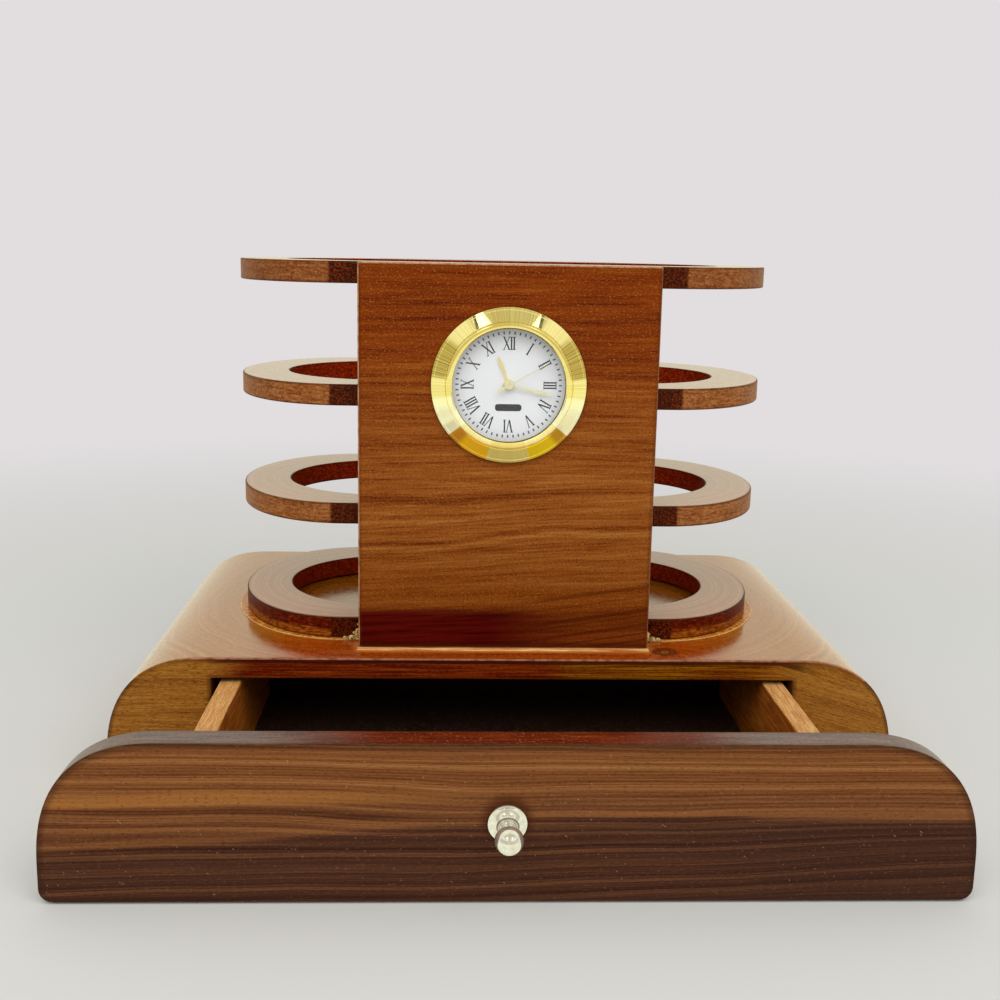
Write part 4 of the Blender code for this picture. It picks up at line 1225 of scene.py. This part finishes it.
def ring_side_wood():
    """The rings' sanded rims: golden at the ends, and dark and mottled beside the panels, where the panels'
    shadow is painted; the lowest ring's rim gets painted shade.
    """
    mix = Finish("ring_side_wood")
    point = mix.place()
    x, _, z = mix.split(point)
    fibres = mix.noise(point, (0.6, 0.6, 1.8), detail=6.0, roughness=0.7)
    layers = mix.noise(point, (0.12, 0.12, 1.6), detail=3.0)
    blend_of = mix.times_plus(layers, 0.35, mix.times(fibres, 0.65))
    colour = mix.shades(blend_of, (0.38, 106, 50, 14), (0.48, 136, 78, 34), (0.6, 166, 108, 60))
    colour = mix.blend(mix.level(z, 108.0, 130.0, 0.0, 0.3), colour, tone(98, 44, 20))
    colour = pepper(mix, point, colour, (1.8, 1.8, 2.4), (0.45, tone(78, 32, 6)), (0.4, tone(198, 142, 88)))
    # painted shade: the lowest ring's rim darker and redder, golden at its foot
    lowest_ring_shade = mix.level(z, 44.5, 43.4)
    red = mix.shades(fibres, (0.38, 50, 6, 0), (0.52, 88, 18, 1), (0.64, 128, 46, 7))
    golden = mix.shades(fibres, (0.38, 90, 32, 2), (0.6, 164, 88, 20))
    foot = mix.level(mix.times_plus(layers, 3.4, mix.less(z, 1.7)), 40.4, 39.2)
    colour = mix.blend(lowest_ring_shade, colour, mix.blend(foot, red, golden))
    # painted shadow of the panels: a dark mottle on the rims beside them
    mottle = mix.noise(point, (1.7, 1.7, 1.7), detail=5.0, roughness=0.75)
    dark = mix.shades(mottle, (0.4, 24, 3, 0), (0.5, 58, 12, 2), (0.6, 112, 42, 8))
    panel_shadow_reach = mix.plus(mix.unsigned(x), mix.times(mottle, 1.2))
    colour = mix.blend(mix.level(panel_shadow_reach, 47.2, 46.4, 0.0, 0.95), colour, dark)
    colour = edge_wear_and_highlight(mix, colour, (0.35, tone(66, 28, 8)), (0.45, tone(60, 26, 12)))
    return lacquer(mix, colour, fibres, (0.36, 0.52), 1.14)


def ring_hole_wood():
    mix = Finish("ring_hole_wood")
    point = mix.place()
    fibres = mix.noise(point, (0.9, 0.9, 1.6), detail=6.0, roughness=0.7)
    # deep red brown in the holes: partly the wood's colour, partly painted shade of the recess
    colour = mix.shades(fibres, (0.36, 88, 13, 1), (0.5, 134, 32, 3), (0.66, 170, 62, 12))
    colour = pepper(mix, point, colour, (1.8, 1.8, 1.8), (0.4, tone(54, 7, 1)), (0.3, tone(184, 84, 22)))
    colour = edge_wear_and_highlight(mix, colour, (0.3, tone(52, 12, 3)), (0.4, tone(60, 20, 8)))
    return lacquer(mix, colour, fibres, (0.4, 0.55), 1.1)


def walnut_colour(mix, point):
    """Striped walnut, light above and dark below, with a golden band on the left."""
    x, _, z = mix.split(point)
    distance = growth(mix, point, (-40.0, -160.0), 6.0)
    streaks, fibres = grain(mix, point, distance, 1.5, share=0.62, fibre=(0.045, 2.0, 3.4))
    fine = mix.line_noise(distance, 2.4, detail=2.0)
    streaks = mix.times_plus(mix.less(fine, 0.5), 0.3, streaks)
    wave = mix.times_plus(mix.noise(point, (0.012, 0.05, 0.2), detail=3.0), 6.0, -3.0)
    height = mix.plus(z, wave)
    above = mix.less(height, mix.level(x, -100.0, 5.0, 14.0, 19.2))
    lower = mix.shades(streaks, (0.34, 46, 20, 12), (0.5, 68, 38, 24), (0.66, 98, 60, 36))
    middle_part = mix.shades(streaks, (0.34, 66, 32, 16), (0.5, 100, 58, 30), (0.66, 132, 84, 46))
    upper = mix.shades(streaks, (0.34, 78, 36, 14), (0.5, 118, 70, 34), (0.66, 150, 100, 56))
    lower = mix.blend(mix.level(x, 10.0, 80.0, 0.0, 0.35), lower, tone(44, 24, 20))
    colour = mix.blend(mix.level(above, -1.2, 1.2), lower, middle_part)
    colour = mix.blend(mix.level(above, 4.0, 9.0), colour, upper)
    ledge = mix.times(mix.level(above, 0.0, 0.8), mix.level(above, 2.4, 1.4))
    ledge = mix.times(ledge, mix.level(x, -8.0, 6.0, 0.15, 0.45))
    colour = mix.blend(ledge, colour, tone(146, 94, 54))
    rise = mix.level(x, -100.0, -60.0, 0.0, 1.4)
    band_at = mix.less(mix.times_plus(wave, 0.25, z), rise)
    golden = mix.times(mix.level(band_at, 21.6, 22.6), mix.level(band_at, 25.6, 24.2))
    golden = mix.times(golden, mix.level(x, 20.0, -70.0, 0.0, 0.75))
    colour = mix.blend(golden, colour, tone(150, 96, 44))
    return colour, fibres


def drawer_front_wood():
    """Walnut stripes that slant a little lower down, nicked, and darker round the knob."""
    mix = Finish("striped_walnut_drawer_wood")
    x, y, z = mix.split(mix.place())
    slant = mix.times(mix.level(z, 22.0, 10.0, 0.0, 0.03), x)
    point = mix.join(x, y, mix.less(z, slant))
    colour, fibres = walnut_colour(mix, point)
    colour = pepper(mix, point, colour, (0.9, 2.8, 2.8), (0.4, tone(44, 20, 10)), (0.08, tone(176, 128, 84)))
    marks = mix.times(nicks(mix, math.radians(40), 1.0, 0.28, 0.75), 0.5)
    colour = mix.blend(marks, colour, tone(196, 160, 130))
    knob = middle_of("knob_screw") / MM
    from_knob = mix.join(mix.less(x, knob.x), 0.0, mix.less(z, knob.z + 0.8))
    from_knob = mix.length(from_knob)
    colour = mix.blend(mix.level(from_knob, 6.8, 4.0, 0.0, 0.65), colour, tone(58, 20, 6))
    colour = edge_wear_and_highlight(mix, colour, (0.45, tone(44, 22, 14)), (0.5, tone(46, 28, 20)))
    return lacquer(mix, colour, fibres, (0.32, 0.46), 1.16, depth=0.08)


def drawer_edge_wood():
    """The drawer front's curved top, ends and back."""
    mix = Finish("walnut_edge_wood")
    point = mix.place()
    x, _, _ = mix.split(point)
    fibres = mix.noise(point, (0.08, 1.6, 1.6), detail=6.0, roughness=0.7)
    grey = mix.shades(fibres, (0.36, 80, 62, 54), (0.5, 104, 84, 76), (0.66, 134, 112, 102))
    red = mix.shades(fibres, (0.36, 62, 10, 0), (0.5, 92, 24, 1), (0.66, 124, 50, 8))
    colour = mix.blend(mix.level(mix.unsigned(x), 34.0, 56.0), red, grey)
    specks = ((0.4, tone(50, 28, 18)), (0.25, tone(176, 140, 116)))
    colour = pepper(mix, point, colour, (1.4, 1.4, 1.4), *specks)
    colour = edge_wear_and_highlight(mix, colour, (0.3, tone(46, 28, 20)), (0.4, tone(52, 34, 26)))
    return lacquer(mix, colour, fibres, (0.3, 0.44), 1.26)


def slat_wood():
    """Plain pale strips, with painted shade on their inner faces and near black painted shade at the
    drawer's back.
    """
    mix = Finish("plain_light_slat_wood")
    point = mix.place()
    turned_point = mix.place(turn=(0.0, 0.0, math.pi / 2))
    fibres = mix.noise(turned_point, (0.12, 1.8, 1.8), detail=6.0, roughness=0.7)
    colour = mix.shades(fibres, (0.36, 168, 110, 54), (0.5, 198, 142, 78), (0.66, 220, 176, 116))
    specks = ((0.5, tone(136, 80, 34)), (0.5, tone(238, 206, 154)))
    colour = pepper(mix, point, colour, (2.2, 2.2, 2.2), *specks)
    x, y, _ = mix.split(point)
    # painted shade on the slats' inner faces
    inner_face_shade = mix.shades(fibres, (0.36, 116, 52, 8), (0.5, 160, 84, 20), (0.66, 196, 122, 44))
    inner = mix.level(mix.unsigned(x), 68.1, 67.95)
    colour = mix.blend(inner, colour, inner_face_shade)
    # painted shade: near black at the back of the drawer, deep in the tunnel
    dark = mix.shades(fibres, (0.36, 12, 4, 2), (0.66, 40, 16, 6))
    colour = mix.blend(mix.level(y, -8.0, -6.3), colour, dark)
    return lacquer(mix, colour, fibres, (0.5, 0.7), 1.25)


def hardboard():
    mix = Finish("dark_hardboard")
    point = mix.place()
    clumps = mix.noise(point, (1.3, 1.3, 1.3), detail=6.0, roughness=0.75)
    colour = mix.shades(clumps, (0.36, 26, 14, 10), (0.5, 54, 34, 24), (0.66, 104, 76, 58))
    return lacquer(mix, colour, clumps, (0.5, 0.72), 1.3)


def glue_film_finish():
    """Amber lacquer that ran out round the lowest ring, pale along its edge."""
    mix = Finish("amber_glue_film")
    point = mix.place()
    cloud = mix.noise(point, (0.7, 0.7, 0.7), detail=5.0)
    colour = mix.shades(cloud, (0.34, 150, 76, 12), (0.5, 184, 108, 30), (0.66, 214, 150, 62))
    pale = mix.times(mix.attribute("rim"), mix.level(cloud, 0.3, 0.5, 0.4, 0.8))
    colour = mix.blend(pale, colour, tone(226, 178, 104))
    return lacquer(mix, colour, cloud, (0.2, 0.34), 1.3)


def glue_bead_finish(name, lumps, deep, pale):
    """Dried glue, in clouds from a deep tone to a pale one; the line at the panel's foot gets pale tones
    that paint a highlight.
    """
    mix = Finish(name)
    point = mix.place()
    cloud = mix.noise(point, (lumps, 1.4, 1.4), detail=5.0)
    colour = mix.ramp(cloud, (0.36, deep), (0.5, mix_of(deep, pale)), (0.62, pale))
    return lacquer(mix, colour, cloud, (0.2, 0.4), 1.3)


def mix_of(first, second):
    """The colour half-way between two."""
    return tuple((a + b) / 2 for a, b in zip(first, second))


def metal(name, light, dark, gloss, spots, share=1.0):
    """Polished metal with a faint uneven film; share tells how much of it mirrors."""
    mix = Finish(name)
    point = mix.place()
    film = mix.noise(point, (spots, spots, spots), detail=4.0)
    mix.set(
        Base_Color=mix.ramp(film, (0.35, dark), (0.65, light)),
        Metallic=share,
        Roughness=mix.level(film, 0.3, 0.7, *gloss),
    )
    mix.bump(film, 0.08, 0.02 * MM)
    return mix.material


def streaked_gold():
    """The bezel's gold, brushed in fine streaks that run out from the clock's axis, with painted reflections
    in sectors round it: pale, dim olive, amber and greenish gold.
    """
    mix = Finish("streaked_gold")
    x, _, z = mix.split(mix.place(centre=clock_centre()))
    angle = mix.math("ARCTAN2", x, z)
    fine = mix.line_noise(angle, 46.0, detail=5.0)
    broad = mix.line_noise(angle, 2.6, detail=2.0)
    colour = mix.shades(fine, (0.34, 240, 224, 134), (0.5, 250, 238, 160), (0.66, 252, 245, 184))
    out = mix.length(mix.join(x, 0.0, z))
    cone = mix.level(out, 15.9, 16.1)
    colour = mix.blend(mix.times_plus(cone, -0.5, 0.5), colour, tone(248, 226, 136))
    aside = mix.unsigned(angle)
    # painted reflection: pale sectors low on either side, and greenish gold at the bottom
    pale = mix.times(mix.level(aside, 1.72, 1.78), mix.level(aside, 2.28, 2.26))
    colour = mix.blend(mix.times(pale, 0.9), colour, tone(255, 253, 206))
    colour = mix.blend(mix.level(aside, 2.84, 2.86, 0.0, 0.6), colour, tone(236, 204, 84))
    # painted reflection: dimmer olive gold on the sides, and faintly at the top
    dim_reflection_zone = mix.times(mix.level(aside, 0.84, 1.0), mix.level(aside, 1.52, 1.4))
    dim_reflection_zone = mix.larger(dim_reflection_zone, mix.level(aside, 0.42, 0.24, 0.0, 0.35))
    hatch = mix.shades(fine, (0.4, 182, 154, 50), (0.52, 222, 200, 98), (0.62, 242, 228, 140))
    colour = mix.blend(mix.times(mix.times(dim_reflection_zone, cone), 0.8), colour, hatch)
    colour = mix.blend(mix.level(broad, 0.56, 0.4, 0.0, 0.2), colour, tone(218, 190, 84))
    # painted reflection of the wood below: amber sectors low on either side, with a darker brown streak
    amber = mix.times(mix.level(aside, 2.26, 2.28), mix.level(aside, 2.86, 2.84))
    amber = mix.times(amber, cone)
    glow = mix.blend(mix.level(x, -2.0, 2.0), tone(255, 190, 12), tone(255, 214, 4))
    deep = mix.blend(mix.level(aside, 2.5, 2.38, 0.0, 0.7), glow, tone(170, 96, 4))
    colour = mix.blend(mix.times(amber, 0.95), colour, deep)
    # less metal low down, so that the painted reflections there show as colour
    share = mix.level(z, -4.5, -6.5, 0.92, 0.14)
    mix.set(Base_Color=colour, Metallic=share, Roughness=mix.level(fine, 0.3, 0.7, 0.03, 0.07), IOR=1.5)
    mix.bump(fine, 0.025, 0.004 * MM)
    return mix.material


def moulded(name, colour, gloss, spots):
    mix = Finish(name)
    point = mix.place()
    skin = mix.noise(point, (spots, spots, spots), detail=5.0)
    shade_of = mix.ramp(skin, (0.3, tone(*[part * 0.8 for part in colour])), (0.7, tone(*colour)))
    mix.set(Base_Color=shade_of, Roughness=mix.level(skin, 0.3, 0.7, *gloss))
    mix.bump(skin, 0.15, 0.02 * MM)
    return mix.material


def dial_paint():
    """Silver white, with a faint speckle and a soft shade towards the dial's rim."""
    mix = Finish("silver_white_dial_paint")
    point = mix.place(centre=clock_centre())
    speckle = mix.noise(point, (5.0, 5.0, 5.0), detail=2.0)
    x, _, z = mix.split(point)
    out = mix.length(mix.join(x, 0.0, z))
    paint = mix.shades(speckle, (0.3, 236, 238, 243), (0.7, 250, 251, 254))
    colour = mix.blend(mix.level(out, 13.4, 14.5, 0.0, 0.6), paint, tone(255, 248, 218))
    mix.set(Base_Color=colour, Roughness=mix.level(speckle, 0.3, 0.7, 0.3, 0.45))
    mix.bump(speckle, 0.1, 0.01 * MM)
    return mix.material


def lens_glass():
    mix = Finish("clear_lens_glass")
    film = mix.noise(mix.place(), (0.2, 0.2, 0.2), detail=3.0)
    mix.set(
        Base_Color=mix.shades(film, (0.3, 150, 154, 158), (0.7, 170, 174, 178)),
        Roughness=mix.level(film, 0.3, 0.7, 0.02, 0.08),
        Alpha=0.05,
        IOR=1.45,
    )
    return mix.material


def knob_piece(finish):
    """The turned pull, one piece from its flange to its ball."""
    axis = middle_of("knob_screw")
    centre = Vector((axis.x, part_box("drawer_front")[0].y, axis.z))
    piece = turned("drawer_knob_finished", knob_profile(), centre, TURNED_STEPS)
    shade(piece)
    dress(piece, "drawer_knob", finish)


def glue_film(finish):
    """The film that ran out round the lowest ring, a thin step with a rounded edge."""
    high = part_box("ring_on_base")[1]
    board_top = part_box("base_top_board")[1].z
    half = (high.x, high.y)
    wide = (half[0] + FILM_REACH[0], half[1] + FILM_REACH[1])
    outer = oval("glue_film_edge", wide, RING_END + FILM_REACH[0], board_top)
    narrow = (half[0] - FILM_LAP, half[1] - FILM_LAP)
    inner = oval("glue_film_inside", narrow, RING_END - FILM_LAP, board_top)
    film = band("glue_film", outer, inner, FILM_HEIGHT)
    inset_faces(film, lambda face: face.normal.z > 0.9, FILM_RIM)
    soften(film, FILM_HEIGHT * 0.45)
    mark_rim(film)
    dress(film, "ring_on_base", finish, stands=False)


def glue_bead(name, low, high, seed, finish):
    """A lumpy bead of dried glue between two corners."""
    low = Vector(low)
    high = Vector(high)
    bpy.ops.mesh.primitive_ico_sphere_add(subdivisions=4, radius=0.5, location=(low + high) / 2)
    bpy.context.active_object.scale = high - low
    bead = settle(name)
    edit(bead)
    select_whole()
    bpy.ops.transform.vertex_random(offset=min(high - low) * 0.16, uniform=0.4, seed=seed)
    bpy.ops.mesh.vertices_smooth(factor=0.5, repeat=2)
    leave_edit()
    shade(bead)
    dress(bead, "front_panel", finish, stands=False)


def glue_beads(finish, foot_highlight_finish):
    """Glue squeezed out where the lowest ring meets the front panel, and a fine line of glue at its foot,
    whose pale tones paint a highlight along the panel's bottom edge.

    Each of CRUMBS gives its place outward, forward and up, and its size, in millimetres.
    """
    panel_low, panel_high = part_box("front_panel")
    ring_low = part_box("ring_on_base")[0]
    for side, name in ((-1, "left"), (1, "right")):
        across = side * (panel_high.x + CRUMB_START)
        for number, (out, back, up, size) in enumerate(CRUMBS):
            centre = Vector((across + side * out * MM, ring_low.y - back * MM, ring_low.z + up * MM))
            half = Vector((size * 0.5, size * 0.4, size * 0.38)) * MM
            bead = f"glue_crumb_{name}_{number + 1}"
            glue_bead(bead, centre - half, centre + half, number + side + 3, finish)
    reach = panel_high.x + LINE_SPREAD
    low = (-reach, panel_low.y - LINE_BEFORE_PANEL, panel_low.z - LINE_SPREAD)
    high = (reach, panel_low.y + LINE_UNDER_PANEL, panel_low.z - LINE_GAP)
    line = block("foot_glue_and_highlight_strip", low, high)
    soften(line, LINE_EDGE)
    dress(line, "front_panel", foot_highlight_finish, stands=False)


def floor_paint():
    """A pale matt floor near the object, which fades into the even light behind it."""
    mix = Finish("pale_floor")
    x, y, _ = mix.split(mix.place())
    out = mix.length(mix.join(x, y, 0.0))
    mix.set(Base_Color=FLOOR_COLOUR, Roughness=0.9, Specular_IOR_Level=0.1)
    rays = mix.add("ShaderNodeLightPath")
    in_mirror = rays.outputs["Is Glossy Ray"]
    straight = mix.larger(rays.outputs["Is Camera Ray"], rays.outputs["Is Transmission Ray"])
    far = mix.times(mix.level(out, *FLOOR_FADE), straight)
    even = mix.add("ShaderNodeEmission")
    mix.feed(even.inputs["Color"], mix.blend(in_mirror, BACKGROUND_COLOUR, MIRRORED_COLOUR))
    blend = mix.add("ShaderNodeMixShader")
    mix.feed(blend.inputs[0], mix.larger(far, in_mirror))
    mix.links.new(mix.shader.outputs[0], blend.inputs[1])
    mix.links.new(even.outputs[0], blend.inputs[2])
    mix.links.new(blend.outputs[0], mix.nodes["Material Output"].inputs["Surface"])
    return mix.material


def floor_piece():
    bpy.ops.mesh.primitive_circle_add(vertices=TURNED_STEPS, radius=FLOOR_RADIUS, fill_type="NGON")
    piece = settle("floor")
    piece.data.materials.append(floor_paint())


class Surroundings(Finish):
    """The world, mixed in the same way as a finish."""

    def __init__(self, name):
        self.world = bpy.data.worlds.new(name)
        self.world.use_nodes = True
        self.nodes = self.world.node_tree.nodes
        self.links = self.world.node_tree.links
        self.shader = self.nodes["Background"]


def pale_world():
    """Pale to the camera and through glass, with a softer fill light for the rest.

    Metal and lacquer mirror a room that is bright behind the object, and dimmer behind the camera
    but for a bright band of wall to either side.
    """
    mix = Surroundings("pale_studio")
    bpy.context.scene.world = mix.world
    x, y, z = mix.split(mix.add("ShaderNodeTexCoord").outputs["Generated"])
    wall = mix.times(mix.level(z, 0.4, 0.46), mix.level(z, 0.69, 0.64))
    wall = mix.times(wall, mix.level(mix.unsigned(x), 0.14, 0.22))
    front = mix.blend(wall, DIM_COLOUR, WALL_COLOUR)
    room = mix.blend(mix.level(y, 0.1, -0.3), MIRRORED_COLOUR, front)
    rays = mix.add("ShaderNodeLightPath")
    straight = mix.larger(rays.outputs["Is Camera Ray"], rays.outputs["Is Transmission Ray"])
    colour = mix.blend(rays.outputs["Is Glossy Ray"], FILL_COLOUR, room)
    mix.set(Color=mix.blend(straight, colour, BACKGROUND_COLOUR))


def soft_lamp(name, place, target, size, power, mirrored=False):
    """A square lamp that faces its target. The camera doesn't see it, and mirrors only where asked."""
    place = Vector(place)
    bpy.ops.object.light_add(type="AREA", location=place)
    lamp = bpy.context.active_object
    lamp.name = name
    lamp.rotation_euler = (Vector(target) - place).to_track_quat("-Z", "Y").to_euler()
    lamp.data.shape = "SQUARE"
    lamp.data.size = size
    lamp.data.energy = power
    lamp.visible_camera = False
    lamp.visible_glossy = mirrored


def black_flag(name, place, target, width, height, finish):
    """A thin black strip beside a lamp, which only mirrors show."""
    place = Vector(place)
    turn = (Vector(target) - place).to_track_quat("Z", "Y").to_euler()
    bpy.ops.mesh.primitive_plane_add(size=1.0, location=place, rotation=turn)
    bpy.context.active_object.scale = (width, height, 1.0)
    piece = settle(name)
    piece.data.materials.append(finish)
    piece.visible_camera = False
    piece.visible_shadow = False


def photo_camera():
    """The camera that the photo's edges were solved to."""
    bpy.ops.object.camera_add()
    camera = bpy.context.active_object
    camera.name = "photo_camera"
    camera.matrix_world = (
        Matrix.Translation(CAMERA_PLACE)
        @ Matrix.Rotation(-CAMERA_YAW, 4, "Z")
        @ Matrix.Rotation(math.pi / 2 - CAMERA_PITCH, 4, "X")
        @ Matrix.Rotation(-CAMERA_ROLL, 4, "Z")
    )
    camera.data.lens = CAMERA_LENS
    camera.data.sensor_width = CAMERA_SENSOR
    camera.data.clip_start = MM
    camera.data.clip_end = 20.0
    bpy.context.scene.camera = camera


gold = streaked_gold()
side_wood = base_side_wood()
board_edge = base_strip_wood()
slats = slat_wood()
board = hardboard()
dried_glue = glue_bead_finish("dried_glue", 1.4, tone(104, 50, 12), tone(236, 206, 132))
# the line at the panel's foot: glue in pale tones that paint a highlight along the panel's bottom edge
foot_glue_and_highlight = glue_bead_finish("foot_glue_and_highlight", 0.12, tone(186, 104, 36), tone(248, 200, 130))
black_plastic = moulded("black_moulded_plastic", (48, 48, 50), (0.4, 0.6), 2.0)
black_rubber = moulded("black_rubber", (36, 36, 37), (0.6, 0.8), 3.0)
zinc = metal("zinc_plated_steel", tone(196, 198, 202), tone(160, 162, 168), (0.25, 0.4), 1.2)
nickel = metal("polished_nickel", tone(240, 239, 230), tone(214, 213, 200), (0.03, 0.09), 0.8, share=0.82)
pale_gold = metal("pale_gold", tone(250, 236, 160), tone(236, 214, 130), (0.25, 0.4), 3.0, share=0.3)
paler_gold = metal("very_pale_gold", tone(244, 240, 204), tone(232, 222, 172), (0.3, 0.45), 3.0, share=0.2)

base_pieces(base_top_wood(), board_edge, side_wood)
panel_pieces(panel_wood(), panel_edge_wood())
ring_pieces(ring_top_wood(), ring_side_wood(), ring_hole_wood())
glue_film(glue_film_finish())
glue_beads(dried_glue, foot_glue_and_highlight)
drawer_pieces(drawer_front_wood(), drawer_edge_wood(), slats)
knob_piece(nickel)
clock_pieces(gold, lens_glass(), black_plastic, black_rubber, dial_paint())
dial_printing(
    moulded("black_print", (16, 16, 18), (0.4, 0.6), 4.0),
    moulded("grey_blue_print", (92, 98, 112), (0.4, 0.6), 4.0),
    moulded("dark_grey_print", (40, 40, 44), (0.4, 0.6), 4.0),
)
hand_pieces(pale_gold, paler_gold)
repaint("base_back_board", side_wood)
repaint("drawer_bottom", board)
repaint("knob_screw", zinc)
repaint("battery_cell", zinc)
for hidden in ("movement_case", "battery_cover", "set_knob"):
    repaint(hidden, black_plastic)

floor_piece()
pale_world()
soft_lamp("front_left_lamp", LEFT_LAMP, LAMP_TARGET, LAMP_SIZE, LAMP_POWER)
soft_lamp("front_right_lamp", RIGHT_LAMP, LAMP_TARGET, LAMP_SIZE, LAMP_POWER)
soft_lamp("left_card", LEFT_LAMP, clock_centre(), CARD_SIZES[0], CARD_POWERS[0], mirrored=True)
soft_lamp("right_card", RIGHT_LAMP, clock_centre(), CARD_SIZES[1], CARD_POWERS[1], mirrored=True)
black_cloth = moulded("black_flag_cloth", (6, 6, 6), (0.8, 0.95), 1.0)
black_flag("left_flag", LEFT_FLAG, clock_centre(), *FLAG_SIZE, black_cloth)
black_flag("right_flag", RIGHT_FLAG, clock_centre(), *FLAG_SIZE, black_cloth)
photo_camera()
bpy.context.scene.view_settings.view_transform = "Standard"
